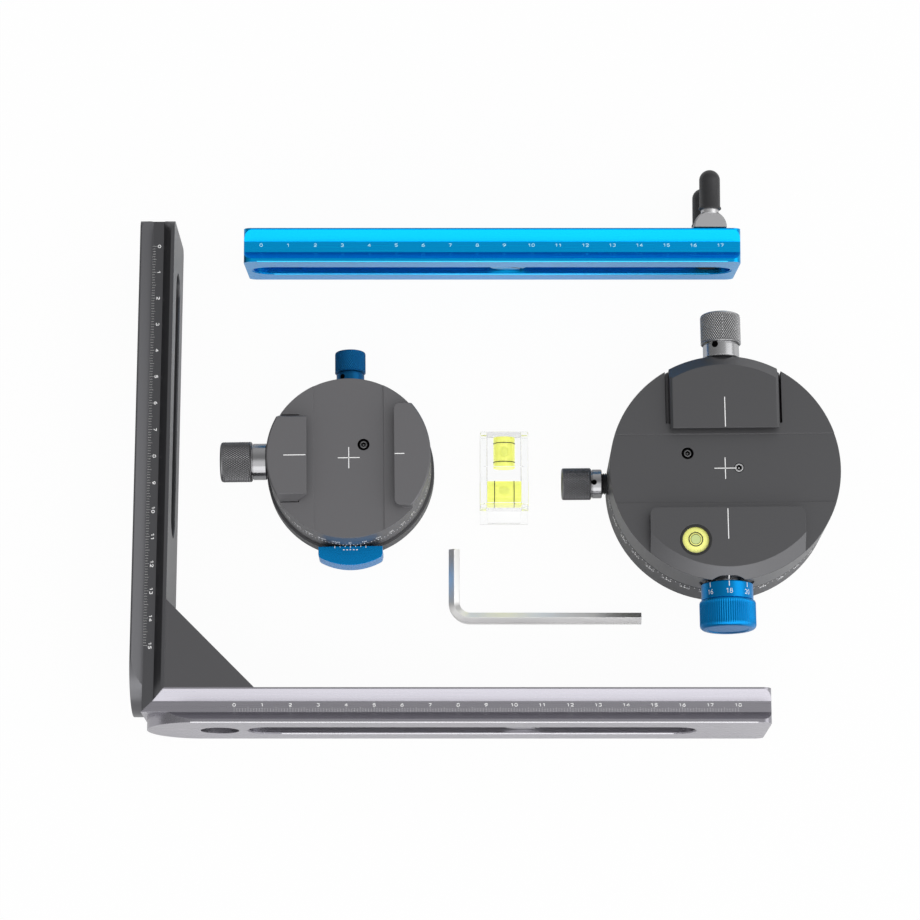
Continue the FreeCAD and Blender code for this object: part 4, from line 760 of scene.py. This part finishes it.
def bar_scale(last, row, tick_width, stroke):
    """Centimetre scale along u: a number at each centimetre and, if they have a width, millimetre ticks."""
    marks = [(line((step, tick_start), (step, tick_start + (tick_minor if step % 5 else tick_major))),
              tick_width) for step in range(last * 10 + 1) if tick_width]
    for centimetre in range(last + 1):
        marks += number(str(centimetre), centimetre * 10.0, row, scale_digit, scale_digit_width, stroke)
    return marks


arm_low, arm_high = box_mm("lower_arm")
for name, start, end, height in (("lower_arm_rim", mitre_clear, end_clear, arm_high.z),
                                 ("lower_recess_rim", arm_recess_start, arm_recess_end, recess_low)):
    edge_bead(name, (arm_low.x + start, arm_low.y, height), (arm_high.x - end, arm_low.y, height),
              (0, -1, 0), (0, 0, 1), arm_edge_highlight, "bracket")
ink("lower_arm_scale", bar_scale(lower_last, lower_row, arm_tick_width, arm_stroke),
    plane_lay((lower_zero, arm_low.y + groove_edge, arm_high.z - groove_depth), (1, 0, 0), (0, 1, 0)),
    "bracket")
arm_low, arm_high = box_mm("upright_arm")
ink("upright_arm_scale", bar_scale(upright_last, upright_row, arm_tick_width, arm_stroke),
    plane_lay((arm_low.x + groove_edge, upright_zero, arm_high.z - groove_depth), (0, -1, 0), (1, 0, 0)),
    "bracket")

# ---- nodal rail ------------------------------------------------
# The same dovetail section in bright blue, with its own scale. It leans back on the hand screw, with a
# captive steel camera screw and bronze washer in its slot.
blue_finish = anodised("rail_anodised", (0.001, 0.34, 0.74), 0.26, 0.96, 0.000003, (0.01, 1, 1))
dress(blue_finish, "nodal_rail")
dress(steel_finish, "rail_screw")
dress(bronze_finish, "rail_washer")
# Painted highlight: the beads that round the rail's edges are a lighter blue than the rail, for the light
# that the rounded edges catch.
rail_edge_highlight = turned_metal("rail_rim", (0.06, 0.56, 0.95), 0.22)
rail_height, rail_recess_clear = 38.0, 9.7
rail_last, rail_row, rail_stroke, rail_zero = 17, 2.6, 0.2, 6.4
rail_low, rail_high = box_mm("nodal_rail")
rail_length = rail_high.x - rail_low.x
rail_back = axis_of("rail_screw_turn")[1]
rail_up = np.cross((1, 0, 0), rail_back)
rail_foot = np.array([rail_low.x, rail_low.y + rail_height * rail_back[2], 0.0])
rail_strip = rail_foot + rail_back * groove_edge + rail_up * (rail_height - groove_depth)
for name, height, clear_end in (("rail_rim", rail_height, end_clear),
                                ("rail_recess_rim", recess_low, rail_recess_clear)):
    edge = rail_foot + rail_up * height
    edge_bead(name, edge + (clear_end, 0, 0), edge + (rail_length - clear_end, 0, 0), -rail_back, rail_up,
              rail_edge_highlight, "nodal_rail")
rail_ink = soft_solid("rail_scale_pale_blue", (0.45, 0.80, 0.92), 0.60)
ink("rail_scale", bar_scale(rail_last, rail_row, 0, rail_stroke),
    plane_lay(rail_strip + (rail_zero, 0, 0), (1, 0, 0), rail_back), "nodal_rail", rail_ink)

# ---- hand screw ------------------------------------------------
# A half-round aluminium bar on a steel stud clamps the rail. Two steel prongs in it wear black rubber
# caps, so that it can be turned by hand and the rail can stand on them.
bar_edge_round = 0.00008        # metres
bar_finish = anodised("handle_anodised", (0.42, 0.42, 0.43), 0.34, 0.9, edge=bar_edge_round)
black_stud_and_gap_shade = soft_solid("stud_matt_black", (0.006, 0.006, 0.007), 0.85)
inputs_of(black_stud_and_gap_shade)["Specular IOR Level"].default_value = 0.1
rubber_finish = soft_solid("cap_rubber", (0.020, 0.020, 0.022), 0.45)
dress(bar_finish, "handle_bar")
dress(steel_finish, "handle_posts")
# The stud is matt black; the washer between the bar and the rail wears the same near-black finish as painted
# shade, for the dark line between them.
dress(black_stud_and_gap_shade, "handle_stud", "handle_washer")
cap_radius, cap_wall, cap_lip = 3.85, 1.0, 0.35
cap_push = 1.75                 # how far a cap is pushed down its prong
lip_start, lip_end, lip_foot = 0.3, 0.7, 1.3
collar_radius, collar_length, collar_sink, collar_chamfer = 3.1, 0.9, 0.1, 0.2
handle_point, handle_axis = axis_of("hand_screw_turn")
handle_place = np.eye(4)
handle_place[:3, :3] = np.stack([np.cross(rail_up, handle_axis), rail_up, handle_axis], axis=1) * mm
handle_place[:3, 3] = handle_point * mm
cap_start, cap_end = np.array(span_along("handle_caps", handle_place)) - cap_push
bar_end = span_along("handle_bar", handle_place)[1]
across_place = handle_place.copy()
across_place[:3, :3] = handle_place[:3, [0, 2, 1]]
lowest, highest = span_along("handle_caps", across_place)
prong_offset = (highest - lowest) / 2 - cap_radius - cap_lip
cap_dome = np.radians(np.linspace(0, 88, 12))
cap_profile = [(cap_radius - cap_wall, cap_start), (cap_radius, cap_start),
               (cap_radius + cap_lip, cap_start + lip_start), (cap_radius + cap_lip, cap_start + lip_end),
               (cap_radius, cap_start + lip_foot)]
cap_profile += [(cap_radius * math.cos(a), cap_end - cap_radius * (1 - math.sin(a))) for a in cap_dome]
collar_foot, collar_top = bar_end - collar_sink, bar_end + collar_length
collar_profile = [(core, collar_foot), (collar_radius, collar_foot),
                  (collar_radius, collar_top - collar_chamfer), (collar_radius - collar_chamfer, collar_top),
                  (core, collar_top)]
for side, name in ((1, "upper"), (-1, "lower")):
    prong_place = handle_place.copy()
    prong_place[:3, 3] += side * prong_offset * rail_up * mm
    turned_piece(name + "_cap", cap_profile, round_sides, prong_place, rubber_finish, "hand_screw",
                 ["handle_caps"])
    turned_piece(name + "_prong_collar", collar_profile, round_sides, prong_place, steel_finish, "hand_screw")

# ---- two-way level ---------------------------------------------
# A moulded clear acrylic block with a foot for a camera's accessory shoe. Two sealed vials of yellow
# spirit lie in it at right angles, each with a bubble between two black rings.
level_foot_height, level_neck_top = 2.0, 4.2
level_neck_half = 6.2
level_front, level_split, level_step = -11.9, 2.6, 1.6
vial_radius = 4.0
cross_vial_length, long_vial_length = 12.6, 11.8
vial_cover = 1.6                # acrylic above a vial
cross_shift, long_shift = -6.4, 8.6
ring_shift, ring_width, ring_proud, ring_sink = 3.6, 0.32, 0.06, 0.1
bubble_lift, bubble_length, bubble_width, bubble_height = 3.6, 2.7, 1.6, 0.6
moulded_round, weld = 0.00035, 0.000001         # metres
level_low, level_high = box_mm("level_block")
level_middle = (level_low + level_high) / 2
half_foot = level_middle.x - level_low.x
acrylic_finish, tree, inputs = material(
    "clear_acrylic", {"Base Color": (0.985, 0.99, 0.99, 1), "Transmission Weight": 1.0, "IOR": 1.49})
tree.links.new(remapped(tree, object_noise(tree, spirit_scale), 0.01, 0.03), inputs["Roughness"])
vial_spirit_glow = soft_solid("vial_spirit", (0.90, 0.93, 0.16), 0.12, spirit_scale, spirit_depth)
vial_bubble_glow = soft_solid("vial_bubble", (0.78, 0.85, 0.14), 0.12, spirit_scale, spirit_depth)
# Painted light: the spirit and its bubbles glow a little, standing for the light that reaches them through
# the clear block.
for finish, painted_glow in ((vial_spirit_glow, 0.45), (vial_bubble_glow, 0.38)):
    inputs_of(finish)["Emission Color"].default_value = (0.90, 0.93, 0.22, 1)
    inputs_of(finish)["Emission Strength"].default_value = painted_glow


def level_ring(y, top, half, low):
    """Outline of the level across its length at a place along it: foot, neck and body."""
    right = [(half_foot, 0), (half_foot, level_foot_height), (level_neck_half, level_foot_height),
             (level_neck_half, level_neck_top), (half, low), (half, top)]
    points = [(-half_foot, 0), *right, *[(-x, z) for x, z in right[:0:-1]]]
    return [(level_middle.x + x, level_middle.y + y, z) for x, z in points]


half_length = level_middle.y - level_low.y
body_top = level_high.z
bare = (level_neck_top, level_neck_half, level_neck_top)
rings = [level_ring(-half_length, *bare), level_ring(level_front, *bare),
         level_ring(level_front, body_top, half_foot, level_neck_top),
         level_ring(level_split, body_top, half_foot, level_neck_top),
         level_ring(level_split, body_top - level_step, half_foot, level_neck_top),
         level_ring(half_length, body_top - level_step, half_foot, level_neck_top)]
level_piece = add_piece("level_clear_block", np.array(rings).reshape(-1, 3) * mm,
                        rings_to_faces(len(rings), len(rings[0])), acrylic_finish, "bubble_level",
                        ["level_block"], 30)
shell = bmesh.new()
shell.from_mesh(level_piece.data)
bmesh.ops.remove_doubles(shell, verts=shell.verts, dist=weld)
bmesh.ops.recalc_face_normals(shell, faces=shell.faces)
shell.to_mesh(level_piece.data)
shell.free()
rounding = level_piece.modifiers.new("moulded_edges", "BEVEL")
rounding.width = moulded_round
rounding.segments = 2
rounding.limit_method = "ANGLE"


def tube_piece(name, centre, axis, radius, length, finish, inner=0.02, stands_for=()):
    """Short tube along X or Y: four rings of points, at the bore and at the wall of each flat end."""
    sides = 40
    steps = full_turn(sides)
    half = length / 2
    points = []
    for r, along in ((inner, -half), (radius, -half), (radius, half), (inner, half)):
        ring = np.stack([np.full(sides, along), r * np.cos(steps), r * np.sin(steps)], axis=1)
        points.append(ring if axis == "x" else ring[:, [1, 0, 2]])
    faces = [(row * sides + i, row * sides + (i + 1) % sides, (row + 1) % 4 * sides + (i + 1) % sides,
              (row + 1) % 4 * sides + i) for row in range(4) for i in range(sides)]
    faces = faces if axis == "x" else [face[::-1] for face in faces]
    add_piece(name, (np.vstack(points) + np.array(centre)) * mm, faces, finish, "bubble_level", stands_for)


def ball_piece(name, centre, radii, finish):
    """Ellipsoid: rings of latitude scaled to three radii."""
    sides, rows, pole = 24, 12, math.pi / 2 - 0.05
    around, latitude = np.meshgrid(full_turn(sides), np.linspace(-pole, pole, rows))
    level = np.cos(latitude)
    points = np.stack([level * np.cos(around), level * np.sin(around), np.sin(latitude)], axis=-1)
    points = points.reshape(-1, 3) * np.array(radii) + np.array(centre)
    add_piece(name, points * mm, rings_to_faces(rows, sides), finish, "bubble_level")


cross_height = body_top - vial_radius - vial_cover
cross_spot = (level_middle.x, level_middle.y + cross_shift, cross_height)
long_spot = (level_middle.x, level_middle.y + long_shift, cross_height - level_step)
vials = (("cross", cross_spot, "x", cross_vial_length, ["level_vials"]),
         ("long", long_spot, "y", long_vial_length, []))
for name, spot, axis, length, stands_for in vials:
    tube_piece(name + "_vial", spot, axis, vial_radius, length, vial_spirit_glow, stands_for=stands_for)
for shift, side in ((-ring_shift, "near"), (ring_shift, "far")):
    for name, (x, y, z), axis, _, _ in vials:
        spot = (x + shift, y, z) if axis == "x" else (x, y + shift, z)
        tube_piece(name + "_ring_" + side, spot, axis, vial_radius + ring_proud, ring_width, black_ink,
                   vial_radius - ring_sink)
for name, (x, y, z), axis, _, _ in vials:
    radii = (bubble_length, bubble_width) if axis == "x" else (bubble_width, bubble_length)
    ball_piece(name + "_bubble", (x, y, z + bubble_lift), (*radii, bubble_height), vial_bubble_glow)

# It is steel, drawn and polished along its length and then plated with bright chrome.
chrome_finish = turned_metal("key_chrome", (0.93, 0.925, 0.91), 0.30, depth=0.000004)
dress(chrome_finish, "hex_key")

# Two weak soft boxes stand in front and on the right.
sky_left, sky_right = 0.42, 1.10
overhead_level, rear_rise, front_rise, low_front_rise = 0.60, 0.40, 1.25, 1.1
front_band, low_front_band, rear_band = (-0.3, 0.2), (-1.0, -0.88), (0.35, 1.0)
seen_share, mirrored_share = 0.96, 0.15
table_grey, table_half = 0.80, 3
lamp_aim = (-0.1, 0, 0)


def any_ray(tree, *kinds):
    """1 where the ray is of one of the kinds, from Light Path."""
    path = add_node(tree, "LightPath", {}, {})
    total = path.outputs[kinds[0]]
    for kind in kinds[1:]:
        total = combined(tree, "MAXIMUM", total, path.outputs[kind])
    return total


def combined(tree, operation, first, second):
    """Sum, product or larger of two values."""
    made = add_node(tree, "Math", {}, {0: first, 1: second})
    made.operation = operation
    return made.outputs[0]


def blended(tree, share, first, second):
    """Blend of two shader sockets by a share socket."""
    return add_node(tree, "MixShader", {}, {0: share, 1: first, 2: second}).outputs[0]


floor_finish, tree, _ = material("white_table", {"Base Color": (table_grey, table_grey, table_grey, 1),
                                                 "Roughness": 0.9, "Specular IOR Level": 0.0})
glow = add_node(tree, "Emission", {"Strength": 1.0}, {}).outputs[0]
matt = tree.nodes["Principled BSDF"].outputs[0]
mirrored = remapped(tree, any_ray(tree, "Is Glossy Ray"), 0.0, mirrored_share)
seen = remapped(tree, any_ray(tree, "Is Camera Ray", "Is Transmission Ray"), 0.0, seen_share)
surface = blended(tree, seen, blended(tree, mirrored, matt, glow), glow)
tree.links.new(surface, tree.nodes["Material Output"].inputs["Surface"])
table = bpy.data.meshes.new("table")
table.from_pydata([(-table_half, -table_half, 0), (table_half, -table_half, 0), (table_half, table_half, 0),
                   (-table_half, table_half, 0)], [], [(0, 1, 2, 3)])
table.materials.append(floor_finish)
table_top = bpy.data.objects.new("table", table)
bpy.context.scene.collection.objects.link(table_top)

world = bpy.data.worlds.new("studio")
bpy.context.scene.world = world
world.use_nodes = True
tree = world.node_tree
sky = tree.nodes["Background"]
sky.inputs["Color"].default_value = (1, 1, 1, 1)
direction = add_node(tree, "TexCoord", {}, {}).outputs["Generated"]
axes = add_node(tree, "SeparateXYZ", {}, {0: direction}).outputs


def spread(axis, low, high, low_value, high_value):
    """Smooth step of one coordinate of the direction between two values."""
    step = add_node(tree, "MapRange", {"From Min": low, "From Max": high, "To Min": low_value,
                                       "To Max": high_value}, {"Value": axes[axis]})
    step.interpolation_type = "SMOOTHSTEP"
    return step.outputs["Result"]


front = combined(tree, "ADD", spread("Y", *front_band, front_rise, 0.0),
                 spread("Y", *low_front_band, low_front_rise, 0.0))
rear = spread("Y", *rear_band, overhead_level, overhead_level + rear_rise)
studio = combined(tree, "MULTIPLY", combined(tree, "ADD", front, rear),
                  spread("X", -1.0, 1.0, sky_left, sky_right))
shown = add_node(tree, "Mix", {"B": 1.0},
                 {"Factor": any_ray(tree, "Is Camera Ray", "Is Transmission Ray"), "A": studio})
tree.links.new(shown.outputs["Result"], sky.inputs["Strength"])


def lamp(name, place, size, power):
    light = bpy.data.lights.new(name, "AREA")
    light.shape = "RECTANGLE"
    light.size, light.size_y = size
    light.energy = power
    holder = bpy.data.objects.new(name, light)
    holder.location = place
    holder.rotation_euler = (Vector(lamp_aim) - Vector(place)).to_track_quat("-Z", "Y").to_euler()
    bpy.context.scene.collection.objects.link(holder)


lamp("front_box", (-0.2, -1.4, 1.0), (1.8, 0.8), 4)
lamp("right_box", (1.1, 0.1, 1.0), (0.8, 1.2), 3)

camera_tilt = math.radians(13.8)
camera_aim = Vector((-0.0964, 0.0027, 0.038))
camera_distance = 1.120
sensor_width, nearest = 36, 0.05
focal_pixels, picture_pixels = 3085, 920
lens = bpy.data.cameras.new("main_camera")
lens.sensor_width = sensor_width
lens.lens = sensor_width * focal_pixels / picture_pixels
lens.clip_start = nearest
camera = bpy.data.objects.new("main_camera", lens)
camera.location = camera_aim + camera_distance * Vector((0, -math.sin(camera_tilt), math.cos(camera_tilt)))
camera.rotation_euler = (camera_tilt, 0, 0)
bpy.context.scene.collection.objects.link(camera)
bpy.context.scene.camera = camera
bpy.context.scene.view_settings.view_transform = "Standard"
